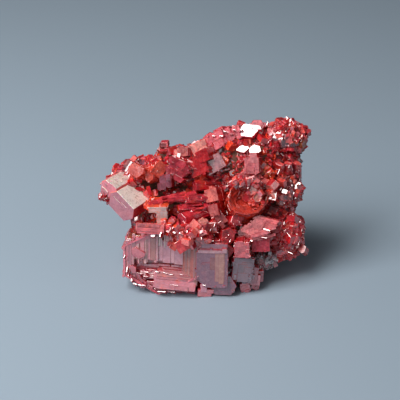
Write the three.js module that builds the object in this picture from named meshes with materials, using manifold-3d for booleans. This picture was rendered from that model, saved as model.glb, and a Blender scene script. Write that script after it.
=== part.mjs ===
// Vanadinite on matrix: a loose mineral specimen that lies on a flat underside.
//
// A lump of brown limonitic matrix carries intergrown vanadinite crystals: six-sided prisms, some long
// and some short as tablets, some with a hollowed (hopper) end. Each free crystal, and each group of
// crystals grown together, is one solid of its own in a close-fitting seat in its neighbours.
//
// Millimetres. +Z is up, -Y is the show side and +X is the viewer's right.

import * as THREE from 'three';
import { mergeVertices } from 'three/addons/utils/BufferGeometryUtils.js';
import Module from 'manifold-3d';

const wasm = await Module();
wasm.setup();

// ---------------------------------------------------------------------------------------------
// Driving dimensions
// ---------------------------------------------------------------------------------------------

const SEAT_GAP = 0.3; // clearance between a crystal and whatever it is seated in
const REST_LEVEL = 0; // the specimen's flat underside
const STEP_RISE = 0.5; // usual height of one growth step on a crystal's end
const STEEP = 0.95; // rise of a crystal's axis above which its outline is set by +Y and not by +Z
const WELD = 1e-5; // corners nearer than this are one
const BOULDER_WAVE = 0.07; // how far a boulder's surface swings in and out, as a share of its size
const BLOCK = 1000; // side of the block that planes off the underside

const RED = { color: 0x9c1f24, roughness: 0.25, metalness: 0 };
const ORANGE = { color: 0xc2441c, roughness: 0.3, metalness: 0 };
const MAUVE = { color: 0x8e5362, roughness: 0.2, metalness: 0 };
const CREAM = { color: 0xc79f8b, roughness: 0.6, metalness: 0 };
const GREY = { color: 0x86767c, roughness: 0.6, metalness: 0 };
const ROCK = { color: 0x6b4f3a, roughness: 0.95, metalness: 0 };

// ---------------------------------------------------------------------------------------------
// Solids
// ---------------------------------------------------------------------------------------------

// Turns a closed geometry into a solid that can be joined and cut.
function toSolid(geometry) {
  const bare = geometry.clone();
  bare.deleteAttribute('normal');
  bare.deleteAttribute('uv');
  const welded = mergeVertices(bare, WELD);
  const vertProperties = new Float32Array(welded.attributes.position.array);
  const triVerts = new Uint32Array(welded.index.array);
  return new wasm.Manifold(new wasm.Mesh({ numProp: 3, vertProperties, triVerts }));
}

// Turns a solid back into a geometry.
function toGeometry(solid) {
  const mesh = solid.getMesh();
  const geometry = new THREE.BufferGeometry();
  geometry.setAttribute('position', new THREE.BufferAttribute(new Float32Array(mesh.vertProperties), 3));
  geometry.setIndex(new THREE.BufferAttribute(new Uint32Array(mesh.triVerts), 1));
  geometry.computeVertexNormals();
  return geometry;
}

// The largest of a solid's separate lumps: what is left of a crystal once its neighbours have cut it.
function largestLump(solid) {
  const lumps = solid.decompose();
  lumps.sort((a, b) => b.volume() - a.volume());
  return lumps[0];
}

// The outline of a crystal. reach[k] is the distance from the crystal's axis to side k, and the sides face
// evenly round the axis: 0, 60, 120, 180, 240 and 300 degrees for the usual six. Each corner is where two
// neighbouring sides meet.
function outline(reach, grow) {
  const apart = (2 * Math.PI) / reach.length;
  const corners = reach.map((near, k) => {
    const next = reach[(k + 1) % reach.length] + grow;
    const own = near + grow;
    const facing = k * apart;
    const along = (next - own * Math.cos(apart)) / Math.sin(apart);
    const x = own * Math.cos(facing) - along * Math.sin(facing);
    const y = own * Math.sin(facing) + along * Math.cos(facing);
    return new THREE.Vector2(x, y);
  });
  return new THREE.Shape(corners);
}

// A prism on an outline, from depth `from` to depth `to` along the crystal's axis.
function prism(reach, from, to, grow) {
  const geometry = new THREE.ExtrudeGeometry(outline(reach, grow), {
    depth: to - from + 2 * grow,
    bevelEnabled: false,
  });
  geometry.translate(0, 0, from - grow);
  return toSolid(geometry);
}

// The placing of a crystal: its free end sits at `at`, its axis runs out of the stone along `toward`,
// and its outline stands upright, turned by `turn` degrees.
function placing({ at, toward, turn = 0 }) {
  const axis = new THREE.Vector3(...toward).normalize();
  const up = Math.abs(axis.z) > STEEP ? new THREE.Vector3(0, 1, 0) : new THREE.Vector3(0, 0, 1);
  const across = new THREE.Vector3().crossVectors(up, axis).normalize();
  const upright = new THREE.Vector3().crossVectors(axis, across);
  const basis = new THREE.Matrix4().makeBasis(across, upright, axis);
  const rolled = new THREE.Matrix4().makeRotationZ(THREE.MathUtils.degToRad(turn));
  return new THREE.Matrix4().makeTranslation(...at).multiply(basis).multiply(rolled);
}

// One crystal. `steps` lists growth steps on its free end, each drawn in by its inset from the outline,
// and `hollows` lists the terraces of a hopper end, each with its inset and its depth.
function crystal(spec, grow) {
  const { reach, length, steps = [], hollows = [] } = spec;
  let solid = prism(reach, -length, 0, grow);
  steps.forEach((inset, k) => {
    const smaller = reach.map((near) => near - inset);
    solid = solid.add(prism(smaller, -STEP_RISE, (k + 1) * STEP_RISE, grow));
  });
  hollows.forEach(({ inset, depth }) => {
    const smaller = reach.map((near) => near - inset);
    solid = solid.subtract(prism(smaller, -depth, length, -grow));
  });
  return solid.transform(placing(spec).elements);
}

// Crystals grown together, as one solid.
function intergrown(members, grow) {
  return members.map((member) => crystal(member, grow)).reduce((whole, member) => whole.add(member));
}

// An even spread of `count` directions over the sphere, by the golden angle.
function spread(count) {
  const golden = Math.PI * (3 - Math.sqrt(5));
  return Array.from({ length: count }, (_, k) => {
    const z = 1 - (2 * k + 1) / count;
    const r = Math.sqrt(1 - z * z);
    return new THREE.Vector3(r * Math.cos(k * golden), r * Math.sin(k * golden), z);
  });
}

// A druse: small crystals that stand out all over an egg-shaped heart. `size` holds the heart's half-axes.
function druse({ at, size, count, grain }, grow) {
  const heart = new THREE.IcosahedronGeometry(1, 1);
  heart.scale(size[0] + grow, size[1] + grow, size[2] + grow);
  heart.translate(...at);
  return spread(count).reduce((whole, outward, k) => {
    const reach = grain * (1 + 0.3 * Math.sin(k * 2.4));
    const foot = outward.clone().multiply(new THREE.Vector3(...size));
    const tip = foot.clone().addScaledVector(outward, grain * (0.3 + 0.3 * Math.cos(k * 1.7)));
    const member = {
      at: tip.toArray().map((value, axis) => value + at[axis]),
      toward: [outward.x + 0.3 * Math.sin(k), outward.y, outward.z + 0.3 * Math.cos(k * 1.3)],
      turn: k * 25,
      reach: [reach, reach * 0.8, reach, reach, reach * 0.8, reach],
      length: grain * 2,
    };
    return whole.add(crystal(member, grow));
  }, toSolid(heart));
}

// A rough boulder: an icosahedral ball, pushed in and out by slow waves, so that it breaks into flat facets.
function boulder({ at, size }) {
  const geometry = new THREE.IcosahedronGeometry(1, 1);
  const position = geometry.attributes.position;
  const point = new THREE.Vector3();
  for (let i = 0; i < position.count; i += 1) {
    point.fromBufferAttribute(position, i);
    const slowWave = Math.sin(4.1 * point.x + at[0]) * Math.cos(3.7 * point.y + at[1]);
    const quickWave = Math.sin(5.3 * point.z + at[2]);
    point.multiplyScalar(1 + BOULDER_WAVE * (slowWave + quickWave));
    position.setXYZ(i, point.x * size[0], point.y * size[1], point.z * size[2]);
  }
  geometry.translate(...at);
  return toSolid(geometry);
}

// ---------------------------------------------------------------------------------------------
// The crystals, from the front of the specimen to its back. A crystal listed earlier keeps its full
// shape, and those listed later are cut back round it.
// reach: right, upper right, upper left, left, lower left, lower right, seen from the free end. Blocks
// whose outline is square have four: right, upper, left, lower.
// ---------------------------------------------------------------------------------------------

const crystals = [
  // Bottom front: a tall tablet, a hopper crystal, and the blocks grown at their feet.
  {
    name: 'tall_tablet',
    look: MAUVE,
    members: [
      {
        at: [1.6, -10.8, 5.9],
        toward: [-0.05, -1, 0.2],
        reach: [3, 4.7, 3.9, 4.3, 3, 3.6, 3.9, 4.6],
        length: 9,
      },
      {
        at: [3.6, -10.2, 1.9],
        toward: [-0.05, -1, 0.2],
        reach: [2.4, 2.2, 2.2, 2, 1.6, 1.7],
        length: 7,
      },
    ],
  },
  {
    name: 'foot_bar',
    look: MAUVE,
    members: [
      {
        at: [-1.3, -9.9, 1.4],
        toward: [1, -0.1, -0.06],
        turn: 45,
        reach: [1.5, 1.5, 1.3, 1.5],
        length: 7.8,
      },
      {
        at: [-1.5, -9.4, 3.3],
        toward: [1, -0.1, -0.06],
        turn: 30,
        reach: [1, 0.9, 0.9, 1, 0.9, 0.9],
        length: 7,
      },
    ],
  },
  {
    name: 'foot_blocks',
    look: RED,
    members: [
      { at: [0.1, -11.6, 1.9], toward: [0, -1, 0.1], turn: 4, reach: [0.6, 0.9, 0.6, 0.9], length: 4 },
      {
        at: [0.3, -11.2, 0.9],
        toward: [0.1, -1, 0.1],
        turn: -6,
        reach: [1.2, 0.8, 1.2, 0.9],
        length: 4,
      },
    ],
  },
  {
    name: 'hopper_crystal',
    look: MAUVE,
    members: [
      {
        at: [-7.3, -9.3, 6.3],
        toward: [-0.12, -1, 0.2],
        reach: [6.8, 6.4, 6.4, 7.6, 6.6, 5.8],
        length: 9,
        hollows: [{ inset: 1.2, depth: 1 }, { inset: 2.4, depth: 2.2 }],
      },
    ],
  },
  {
    name: 'grey_crystal',
    look: GREY,
    members: [
      { at: [7.4, -10, 5], toward: [0.1, -1, 0.2], turn: -8, reach: [1.9, 2.5, 2.1, 2], length: 7 },
      {
        at: [8.8, -9.3, 3.6],
        toward: [0.1, -1, 0.2],
        turn: -8,
        reach: [1.4, 1.6, 1.4, 1.7],
        length: 6,
      },
    ],
  },
  {
    name: 'right_foot_blocks',
    look: RED,
    members: [
      { at: [7.8, -9.6, 1], toward: [0.1, -1, 0.15], turn: 10, reach: [1, 0.9, 0.9, 1], length: 5 },
      { at: [9.8, -9, 1.1], toward: [0.2, -1, 0.1], turn: -15, reach: [0.8, 0.7, 0.8, 0.9], length: 5 },
      {
        at: [10.6, -8.4, 2.6],
        toward: [0.4, -1, 0.1],
        turn: -5,
        reach: [0.8, 1.2, 0.8, 1.2],
        length: 5,
      },
    ],
  },
  {
    name: 'pink_block',
    look: RED,
    members: [
      {
        at: [7.1, -9.6, 9.2],
        toward: [-0.1, -1, 0.2],
        turn: 5,
        reach: [1.4, 1.5, 1.5, 1.5],
        length: 6,
      },
    ],
  },
  {
    name: 'magenta_block',
    look: RED,
    members: [
      { at: [10.6, -8, 9.4], toward: [0.05, -1, 0.35], reach: [1.7, 1.3, 1.7, 1.4], length: 6 },
    ],
  },
  {
    name: 'slanted_plate',
    look: RED,
    members: [
      {
        at: [10.6, -7.2, 12.9],
        toward: [0.1, -0.9, 0.6],
        turn: 18,
        reach: [3.4, 1.7, 1.9, 3.4, 1.7, 1.9],
        length: 4,
      },
      {
        at: [8.4, -6.4, 10.8],
        toward: [0.1, -0.9, 0.6],
        turn: 18,
        reach: [2, 1.6, 1.8, 2, 1.6, 1.6],
        length: 4,
      },
    ],
  },

  // The shelf above the hopper crystal.
  {
    name: 'shelf_beam',
    look: ORANGE,
    members: [
      {
        at: [-6.9, -9.2, 13.6],
        toward: [1, -0.12, 0],
        turn: 45,
        reach: [0.8, 0.8, 0.8, 0.8],
        length: 5.2,
      },
    ],
  },
  {
    name: 'shelf_crystals',
    look: ORANGE,
    members: [
      {
        at: [-4.4, -9.3, 12.2],
        toward: [-0.5, -0.8, 0.2],
        turn: 20,
        reach: [1.1, 1, 1, 1.1, 1, 1],
        length: 5,
      },
      {
        at: [-2.4, -9.1, 12.4],
        toward: [0.3, -0.9, 0.35],
        turn: 35,
        reach: [1.2, 1, 1, 1.2, 1, 1],
        length: 5,
      },
      {
        at: [-5.6, -8.6, 11.6],
        toward: [-0.7, -0.7, 0.1],
        turn: 10,
        reach: [1, 0.9, 0.9, 1, 0.9, 0.9],
        length: 5,
      },
      { at: [-1, -9, 10.9], toward: [0.1, -1, 0.2], turn: 45, reach: [1, 1.1, 1, 1.1], length: 4 },
    ],
  },
  {
    name: 'upright_prism',
    look: RED,
    members: [
      {
        at: [0, -8.4, 14.6],
        toward: [0.05, -0.15, 1],
        turn: 20,
        reach: [1, 0.9, 0.9, 1, 0.9, 0.9],
        length: 5,
      },
    ],
  },
  {
    name: 'standing_tablet',
    look: CREAM,
    members: [
      { at: [-7.5, -7.6, 15.1], toward: [0, -1, 0.15], turn: 2, reach: [1, 1.8, 1, 1.6], length: 5 },
      { at: [-8.6, -7.4, 16.4], toward: [0, -1, 0.15], turn: 2, reach: [2, 0.6, 1.3, 0.6], length: 5 },
    ],
  },
  {
    name: 'lying_prism',
    look: RED,
    members: [
      {
        at: [-3.9, -7.6, 14.6],
        toward: [-0.75, -0.65, 0.05],
        turn: 12,
        reach: [1.2, 1, 1, 1.2, 1, 1],
        length: 8,
      },
    ],
  },
  {
    name: 'orange_block',
    look: ORANGE,
    members: [
      {
        at: [-10, -6, 16.4],
        toward: [-0.5, -0.8, 0.3],
        turn: 20,
        reach: [1, 0.8, 0.9, 1, 0.8, 0.9],
        length: 4,
      },
    ],
  },
  {
    name: 'long_plates',
    look: RED,
    members: [
      {
        at: [-9.6, -5.6, 16.8],
        toward: [-0.97, -0.22, -0.02],
        reach: [1.3, 1, 1, 1.5, 1, 1],
        length: 12,
      },
      {
        at: [-4.6, -5.9, 16],
        toward: [-0.97, -0.26, 0.05],
        turn: 10,
        reach: [1.1, 0.8, 0.8, 1.2, 0.8, 0.8],
        length: 6,
      },
    ],
  },
  {
    name: 'middle_block',
    look: MAUVE,
    members: [
      {
        at: [1.4, -4.8, 18],
        toward: [-0.4, -0.8, 0.45],
        turn: 25,
        reach: [1.3, 1.2, 1.2, 1.3],
        length: 5,
      },
    ],
  },
  {
    name: 'middle_tablets',
    look: MAUVE,
    members: [
      {
        at: [1.9, -6.6, 15.9],
        toward: [-0.3, -0.9, 0.3],
        turn: 20,
        reach: [0.9, 1.1, 0.9, 1.1],
        length: 5,
      },
      {
        at: [3.2, -6.8, 14.2],
        toward: [0.2, -0.9, 0.3],
        turn: 30,
        reach: [0.9, 1.2, 0.9, 1.2],
        length: 5,
      },
      {
        at: [1.7, -7.4, 12.6],
        toward: [-0.2, -0.9, 0.2],
        turn: 10,
        reach: [0.8, 1, 0.8, 1],
        length: 5,
      },
    ],
  },
  {
    name: 'centre_cluster',
    look: RED,
    members: [
      {
        at: [4.6, -8, 11.3],
        toward: [0.3, -0.9, 0.35],
        turn: 40,
        reach: [1.4, 1.3, 1.3, 1.4, 1.2, 1.3],
        length: 6,
      },
      {
        at: [2.3, -9.3, 9.9],
        toward: [-0.3, -0.9, 0.35],
        turn: 15,
        reach: [1.5, 1.1, 1.4, 1.2],
        length: 6,
      },
      {
        at: [6.2, -7, 14],
        toward: [0.4, -0.8, 0.5],
        turn: 30,
        reach: [1.2, 1, 1.1, 1.2, 1, 1],
        length: 6,
      },
      {
        at: [4.3, -9.1, 8.6],
        toward: [0.1, -0.9, 0.3],
        turn: 50,
        reach: [1.2, 1.1, 1.2, 1.1],
        length: 6,
      },
    ],
  },

  // Upper left: the big pale-sided block, its smaller neighbour and the tip.
  {
    name: 'left_block',
    look: MAUVE,
    members: [
      {
        at: [-14.8, -5.9, 16.2],
        toward: [-0.475, -0.865, 0.125],
        turn: -5,
        reach: [2.7, 1.7, 3, 2.75, 1.95, 2.7],
        length: 9,
      },
    ],
  },
  {
    name: 'pale_block',
    look: CREAM,
    members: [
      {
        at: [-17.2, -3.6, 18.6],
        toward: [-0.475, -0.865, 0.125],
        turn: -5,
        reach: [1.5, 1, 1.7, 1.7, 1.4, 1.5],
        length: 7,
      },
    ],
  },
  {
    name: 'tip_cluster',
    look: RED,
    druse: { at: [-17.2, -2.2, 17], size: [1.8, 1.6, 1.7], count: 8, grain: 0.9 },
  },

  // The upper rim, from left to right.
  {
    name: 'rim_block_1',
    look: RED,
    members: [
      {
        at: [-12.4, -0.8, 21],
        toward: [-0.5, -0.65, 0.5],
        turn: 20,
        reach: [1.6, 1.4, 1.5, 1.6, 1.4, 1.5],
        length: 5,
      },
    ],
  },
  {
    name: 'rim_block_2',
    look: ORANGE,
    members: [
      {
        at: [-8.2, -0.6, 21.2],
        toward: [0.3, -0.75, 0.55],
        turn: 40,
        reach: [1.4, 1.2, 1.3, 1.4, 1.2, 1.3],
        length: 5,
      },
    ],
  },
  {
    name: 'rim_prism',
    look: ORANGE,
    members: [
      {
        at: [-9.9, -1.8, 20.2],
        toward: [-0.6, -0.7, 0.35],
        turn: 20,
        reach: [0.9, 0.8, 0.9, 0.9, 0.8, 0.9],
        length: 5,
      },
    ],
  },
  {
    name: 'mauve_prism',
    look: MAUVE,
    members: [
      {
        at: [-7, -2.2, 19.5],
        toward: [-0.35, -0.85, 0.4],
        turn: 15,
        reach: [1.3, 1.1, 1.2, 1.3, 1.1, 1.2],
        length: 5,
      },
    ],
  },
  {
    name: 'fluted_barrel',
    look: RED,
    members: [
      {
        at: [-4.6, -1.4, 21.4],
        toward: [-0.5, -0.75, 0.35],
        turn: 20,
        reach: [2.3, 1.9, 2, 2.3, 1.9, 2],
        length: 6,
      },
    ],
  },
  {
    name: 'cream_block',
    look: CREAM,
    members: [
      {
        at: [-3.8, 1.6, 23.6],
        toward: [-0.4, -0.6, 0.7],
        turn: 20,
        reach: [1.2, 1, 1, 1.2, 1, 1],
        length: 4,
      },
    ],
  },
  {
    name: 'red_cube',
    look: RED,
    members: [
      {
        at: [-1, -1.6, 22.4],
        toward: [-0.5, -0.75, 0.4],
        turn: 38,
        reach: [1.9, 1.8, 1.9, 1.8],
        length: 6,
      },
    ],
  },
  {
    name: 'peach_block',
    look: CREAM,
    members: [
      {
        at: [-0.7, 1.6, 24],
        toward: [-0.1, -0.6, 0.75],
        turn: 30,
        reach: [1.5, 1.2, 1.4, 1.2],
        length: 4,
      },
    ],
  },
  {
    name: 'stepped_diamond',
    look: GREY,
    members: [
      {
        at: [2.3, -1.5, 22.9],
        toward: [-0.1, -0.85, 0.5],
        turn: 35,
        reach: [1.5, 1.5, 1.5, 1.5],
        length: 6,
        steps: [0.5],
      },
    ],
  },
  {
    name: 'stepped_blocks',
    look: CREAM,
    members: [
      {
        at: [1.9, 2, 25.5],
        toward: [-0.3, -0.7, 0.65],
        turn: 38,
        reach: [1.8, 1.5, 1.7, 1.6],
        length: 6,
      },
      {
        at: [3.9, 2.2, 26.4],
        toward: [-0.3, -0.7, 0.65],
        turn: 38,
        reach: [1.6, 1.3, 1.5, 1.3],
        length: 6,
      },
      {
        at: [5.6, 2, 26.8],
        toward: [-0.3, -0.7, 0.65],
        turn: 38,
        reach: [1.3, 1.2, 1.2, 1.1],
        length: 6,
      },
    ],
  },
  {
    name: 'top_plate',
    look: GREY,
    members: [
      {
        at: [8.2, 2, 27.7],
        toward: [-0.2, -0.55, 0.8],
        turn: 35,
        reach: [2.1, 1.3, 1.6, 2, 1.3, 1.6],
        length: 5,
      },
      {
        at: [9.9, 2.6, 28.4],
        toward: [-0.2, -0.55, 0.8],
        turn: 35,
        reach: [1.2, 1.1, 1.2, 1.2, 1.1, 1.2],
        length: 5,
      },
    ],
  },
  {
    name: 'ridge_tablets',
    look: GREY,
    members: [
      {
        at: [9.4, -0.4, 25],
        toward: [0, -0.6, 0.75],
        turn: 25,
        reach: [1.1, 1, 1, 1.1, 1, 1],
        length: 5,
      },
      {
        at: [7.2, 0, 25],
        toward: [0, -0.6, 0.75],
        turn: 25,
        reach: [1.2, 0.7, 0.8, 1.2, 0.7, 0.8],
        length: 5,
      },
    ],
  },
  {
    name: 'knob_druse',
    look: RED,
    druse: { at: [15.2, 2.4, 26.6], size: [4, 3.6, 2.8], count: 19, grain: 1.4 },
  },
  {
    name: 'right_edge_druse',
    look: GREY,
    druse: { at: [16.2, 2, 21.4], size: [2, 3, 3.4], count: 9, grain: 1.2 },
  },

  // Right of centre: blocks, stacked plates and the cup-shaped barrel.
  {
    name: 'mauve_block',
    look: MAUVE,
    members: [
      {
        at: [8.8, -2.6, 22.9],
        toward: [-0.3, -0.85, 0.4],
        turn: 12,
        reach: [1.4, 1.5, 1.4, 1.5],
        length: 6,
      },
    ],
  },
  {
    name: 'yellow_block',
    look: ORANGE,
    members: [
      {
        at: [11.8, -1.4, 21.2],
        toward: [0.2, -0.85, 0.4],
        turn: 30,
        reach: [1.1, 1.1, 1, 1.1, 1.1, 1],
        length: 5,
      },
    ],
  },
  {
    name: 'striated_prisms',
    look: RED,
    members: [
      {
        at: [14, -1.8, 22.8],
        toward: [-0.1, -0.6, 0.8],
        turn: 10,
        reach: [0.8, 0.7, 0.8, 0.8, 0.7, 0.8],
        length: 6,
      },
      {
        at: [15.5, -1.6, 22.9],
        toward: [-0.1, -0.6, 0.8],
        turn: 10,
        reach: [0.8, 0.7, 0.8, 0.8, 0.7, 0.8],
        length: 6,
      },
      {
        at: [17, -1.2, 22.8],
        toward: [-0.1, -0.6, 0.8],
        turn: 10,
        reach: [0.8, 0.7, 0.8, 0.8, 0.7, 0.8],
        length: 6,
      },
    ],
  },
  {
    name: 'stacked_plates',
    look: RED,
    members: [
      {
        at: [8, -3.2, 20.6],
        toward: [0, -0.75, 0.65],
        turn: 12,
        reach: [2.8, 1.5, 1.7, 2.8, 1.5, 1.7],
        length: 3,
      },
      {
        at: [9.2, -3.6, 19.8],
        toward: [0.1, -0.75, 0.65],
        turn: 8,
        reach: [2.4, 1.3, 1.4, 2.4, 1.3, 1.4],
        length: 3,
      },
    ],
  },
  {
    name: 'cup_barrel',
    look: ORANGE,
    members: [
      {
        at: [8.2, -4.8, 17.6],
        toward: [0.1, -0.6, 0.8],
        turn: 10,
        reach: [4.2, 3.4, 3.6, 4, 3.4, 3.6],
        length: 5,
        hollows: [{ inset: 0.8, depth: 1 }, { inset: 1.8, depth: 1.8 }],
      },
    ],
  },
  {
    name: 'right_druse',
    look: RED,
    druse: { at: [15.6, -0.4, 17], size: [3, 2.2, 3.6], count: 11, grain: 1.2 },
  },
  {
    name: 'lobe_druse',
    look: RED,
    druse: { at: [15.4, -1.6, 7.6], size: [3.8, 4, 5], count: 18, grain: 1.5 },
  },

  // In and round the dark pocket.
  {
    name: 'pocket_crystal',
    look: ORANGE,
    members: [
      {
        at: [-1.2, -1.2, 20],
        toward: [-0.7, -0.6, 0.3],
        turn: 15,
        reach: [1.1, 0.9, 0.9, 1.1, 0.9, 0.9],
        length: 5,
      },
    ],
  },
  {
    name: 'pocket_prism',
    look: RED,
    members: [
      {
        at: [-1.6, -2.6, 18.7],
        toward: [-0.9, -0.35, 0.15],
        turn: 15,
        reach: [0.9, 0.9, 0.9, 0.9, 0.9, 0.9],
        length: 5,
      },
    ],
  },

  // The back: fewer crystals, on bare matrix.
  {
    name: 'back_tablets',
    look: RED,
    members: [
      {
        at: [-4, 9.4, 19],
        toward: [-0.2, 0.9, 0.3],
        turn: 10,
        reach: [2, 1.7, 1.8, 2, 1.7, 1.8],
        length: 5,
        steps: [0.4],
      },
      {
        at: [-1.4, 9.8, 17.6],
        toward: [0.1, 1, 0.2],
        turn: 35,
        reach: [1.4, 1.2, 1.3, 1.4, 1.2, 1.3],
        length: 5,
      },
      {
        at: [-5.6, 8.6, 16.8],
        toward: [-0.5, 0.9, -0.1],
        turn: 20,
        reach: [1.2, 1, 1, 1.2, 1, 1],
        length: 5,
      },
    ],
  },
  {
    name: 'back_barrel',
    look: MAUVE,
    members: [
      {
        at: [7.6, 10.4, 19.4],
        toward: [0.15, 1, 0.1],
        turn: 15,
        reach: [2.6, 2.2, 2.4, 2.6, 2.2, 2.4],
        length: 6,
        steps: [0.6],
      },
      {
        at: [10.8, 9.4, 17.6],
        toward: [0.4, 1, -0.1],
        turn: 25,
        reach: [1.6, 1.3, 1.4, 1.6, 1.3, 1.4],
        length: 5,
      },
    ],
  },
  {
    name: 'back_blocks',
    look: RED,
    members: [
      {
        at: [3.2, 9.6, 21.4],
        toward: [0.1, 0.9, 0.4],
        turn: 30,
        reach: [1.4, 1.3, 1.4, 1.3],
        length: 5,
      },
      { at: [5, 9.4, 22.6], toward: [0.1, 0.8, 0.5], turn: 45, reach: [1.1, 1.1, 1, 1.1], length: 5 },
      { at: [1.6, 9.4, 19.8], toward: [-0.2, 0.9, 0.3], turn: 20, reach: [1.2, 1, 1.2, 1], length: 5 },
    ],
  },
  {
    name: 'back_foot_crystal',
    look: MAUVE,
    members: [
      {
        at: [3.8, 9.6, 7],
        toward: [0.2, 1, 0.15],
        turn: 5,
        reach: [2.8, 2.3, 2.5, 2.8, 2.3, 2.5],
        length: 6,
      },
      {
        at: [0.4, 9.6, 5],
        toward: [-0.1, 1, 0.1],
        turn: 30,
        reach: [1.7, 1.4, 1.5, 1.7, 1.4, 1.5],
        length: 5,
      },
    ],
  },
  {
    name: 'back_left_prism',
    look: RED,
    members: [
      {
        at: [-9.8, 8, 9.4],
        toward: [-0.7, 0.7, 0.2],
        turn: 20,
        reach: [1.8, 1.5, 1.6, 1.8, 1.5, 1.6],
        length: 6,
      },
      {
        at: [-7.6, 9, 7.4],
        toward: [-0.5, 0.9, 0],
        turn: 40,
        reach: [1.2, 1, 1, 1.2, 1, 1],
        length: 5,
      },
    ],
  },
  {
    name: 'left_flank_blocks',
    look: RED,
    members: [
      {
        at: [-12.8, 2, 8.6],
        toward: [-0.9, 0.1, 0.3],
        turn: 15,
        reach: [1.8, 1.4, 1.6, 1.8, 1.4, 1.6],
        length: 5,
      },
      {
        at: [-12.4, 4.6, 6.2],
        toward: [-0.9, 0.4, 0.1],
        turn: 35,
        reach: [1.3, 1.1, 1.2, 1.3, 1.1, 1.2],
        length: 5,
      },
    ],
  },
];

// The matrix is a heap of merged boulders, with a dark pocket between the rim and the long plates.
const boulders = [
  { at: [-4.2, 1, 6.2], size: [9.6, 8, 7.6] },
  { at: [5, 1.4, 6.6], size: [7.6, 8.2, 8.4] },
  { at: [-10.8, 2.8, 16.7], size: [6.6, 4.4, 3.8] },
  { at: [-4, 4, 17.6], size: [7.6, 5.2, 5.4] },
  { at: [3, 4.4, 17.4], size: [7.6, 5.8, 7.2] },
  { at: [8.8, 4.4, 21], size: [7.6, 5.2, 6.2] },
  { at: [11.4, 3, 11.4], size: [5.6, 5.8, 8] },
];
const pocket = { at: [-6.2, -2.4, 17.8], size: [4.4, 3.4, 2] };

// ---------------------------------------------------------------------------------------------
// Putting it together
// ---------------------------------------------------------------------------------------------

const specimen = new THREE.Group();
let seats = null;

// Everything below the surface that the specimen rests on.
const ground = new THREE.BoxGeometry(BLOCK, BLOCK, BLOCK).translate(0, 0, REST_LEVEL - BLOCK / 2);
const underside = toSolid(ground);

function shape(spec, grow) {
  return spec.druse ? druse(spec.druse, grow) : intergrown(spec.members, grow);
}

function addPiece(name, solid, look) {
  const material = new THREE.MeshStandardMaterial(look);
  const piece = new THREE.Mesh(toGeometry(largestLump(solid)), material);
  piece.name = name;
  specimen.add(piece);
}

crystals.forEach((spec) => {
  const full = shape(spec, 0).subtract(underside);
  addPiece(spec.name, seats ? full.subtract(seats) : full, spec.look);
  const seat = shape(spec, SEAT_GAP);
  seats = seats ? seats.add(seat) : seat;
});

const rock = boulders.map(boulder).reduce((whole, lump) => whole.add(lump));
addPiece('matrix', rock.subtract(underside).subtract(boulder(pocket)).subtract(seats), ROCK);

// The origin is under the middle of the specimen, on the surface that it rests on.
const box = new THREE.Box3().setFromObject(specimen);
specimen.position.set(-(box.min.x + box.max.x) / 2, -(box.min.y + box.max.y) / 2, -box.min.z);

export default specimen;
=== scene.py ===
import math

import bpy
import numpy as np
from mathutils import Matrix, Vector


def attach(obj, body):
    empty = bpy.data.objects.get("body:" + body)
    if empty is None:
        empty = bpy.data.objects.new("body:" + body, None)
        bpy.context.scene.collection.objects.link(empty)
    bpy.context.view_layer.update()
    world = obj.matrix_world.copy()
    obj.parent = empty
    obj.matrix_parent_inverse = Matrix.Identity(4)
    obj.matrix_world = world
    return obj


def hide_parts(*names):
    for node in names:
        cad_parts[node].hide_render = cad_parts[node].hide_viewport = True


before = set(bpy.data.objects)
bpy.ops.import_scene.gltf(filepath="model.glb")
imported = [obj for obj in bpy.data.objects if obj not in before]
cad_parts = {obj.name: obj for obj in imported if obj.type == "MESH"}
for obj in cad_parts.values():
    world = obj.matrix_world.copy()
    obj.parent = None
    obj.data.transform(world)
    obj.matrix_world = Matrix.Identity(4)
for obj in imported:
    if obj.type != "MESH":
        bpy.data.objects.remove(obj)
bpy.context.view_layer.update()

# ---------------------------------------------------------------------------------------------
# Camera: a long lens, about twenty centimetres away, looks down on the specimen from its show side,
# so that near and far crystals keep their true proportions.
# ---------------------------------------------------------------------------------------------

LOOK_DOWN = math.radians(30)
STAND_OFF = 0.208
SENSOR_WIDTH = 36
FOCAL_LENGTH = 100
aim = Vector((-0.00084, 0.00031, 0.0142))
towards_eye = Vector((0, -math.cos(LOOK_DOWN), math.sin(LOOK_DOWN)))

eye = bpy.data.objects.new("eye", bpy.data.cameras.new("eye"))
eye.data.sensor_width = SENSOR_WIDTH
eye.data.lens = FOCAL_LENGTH
eye.data.clip_start = 0.01
eye.data.clip_end = 10
eye.location = aim + towards_eye * STAND_OFF
eye.rotation_mode = "QUATERNION"
eye.rotation_quaternion = towards_eye.to_track_quat("Z", "Y")
bpy.context.scene.collection.objects.link(eye)
bpy.context.scene.camera = eye

# ---------------------------------------------------------------------------------------------
# Matrix: the host rock, a brown limonite-stained lump of overlapping boulders with a pocket in its
# front. It is one star-shaped surface about its heart, broken rough, and flat where it stands.
# ---------------------------------------------------------------------------------------------

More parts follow.
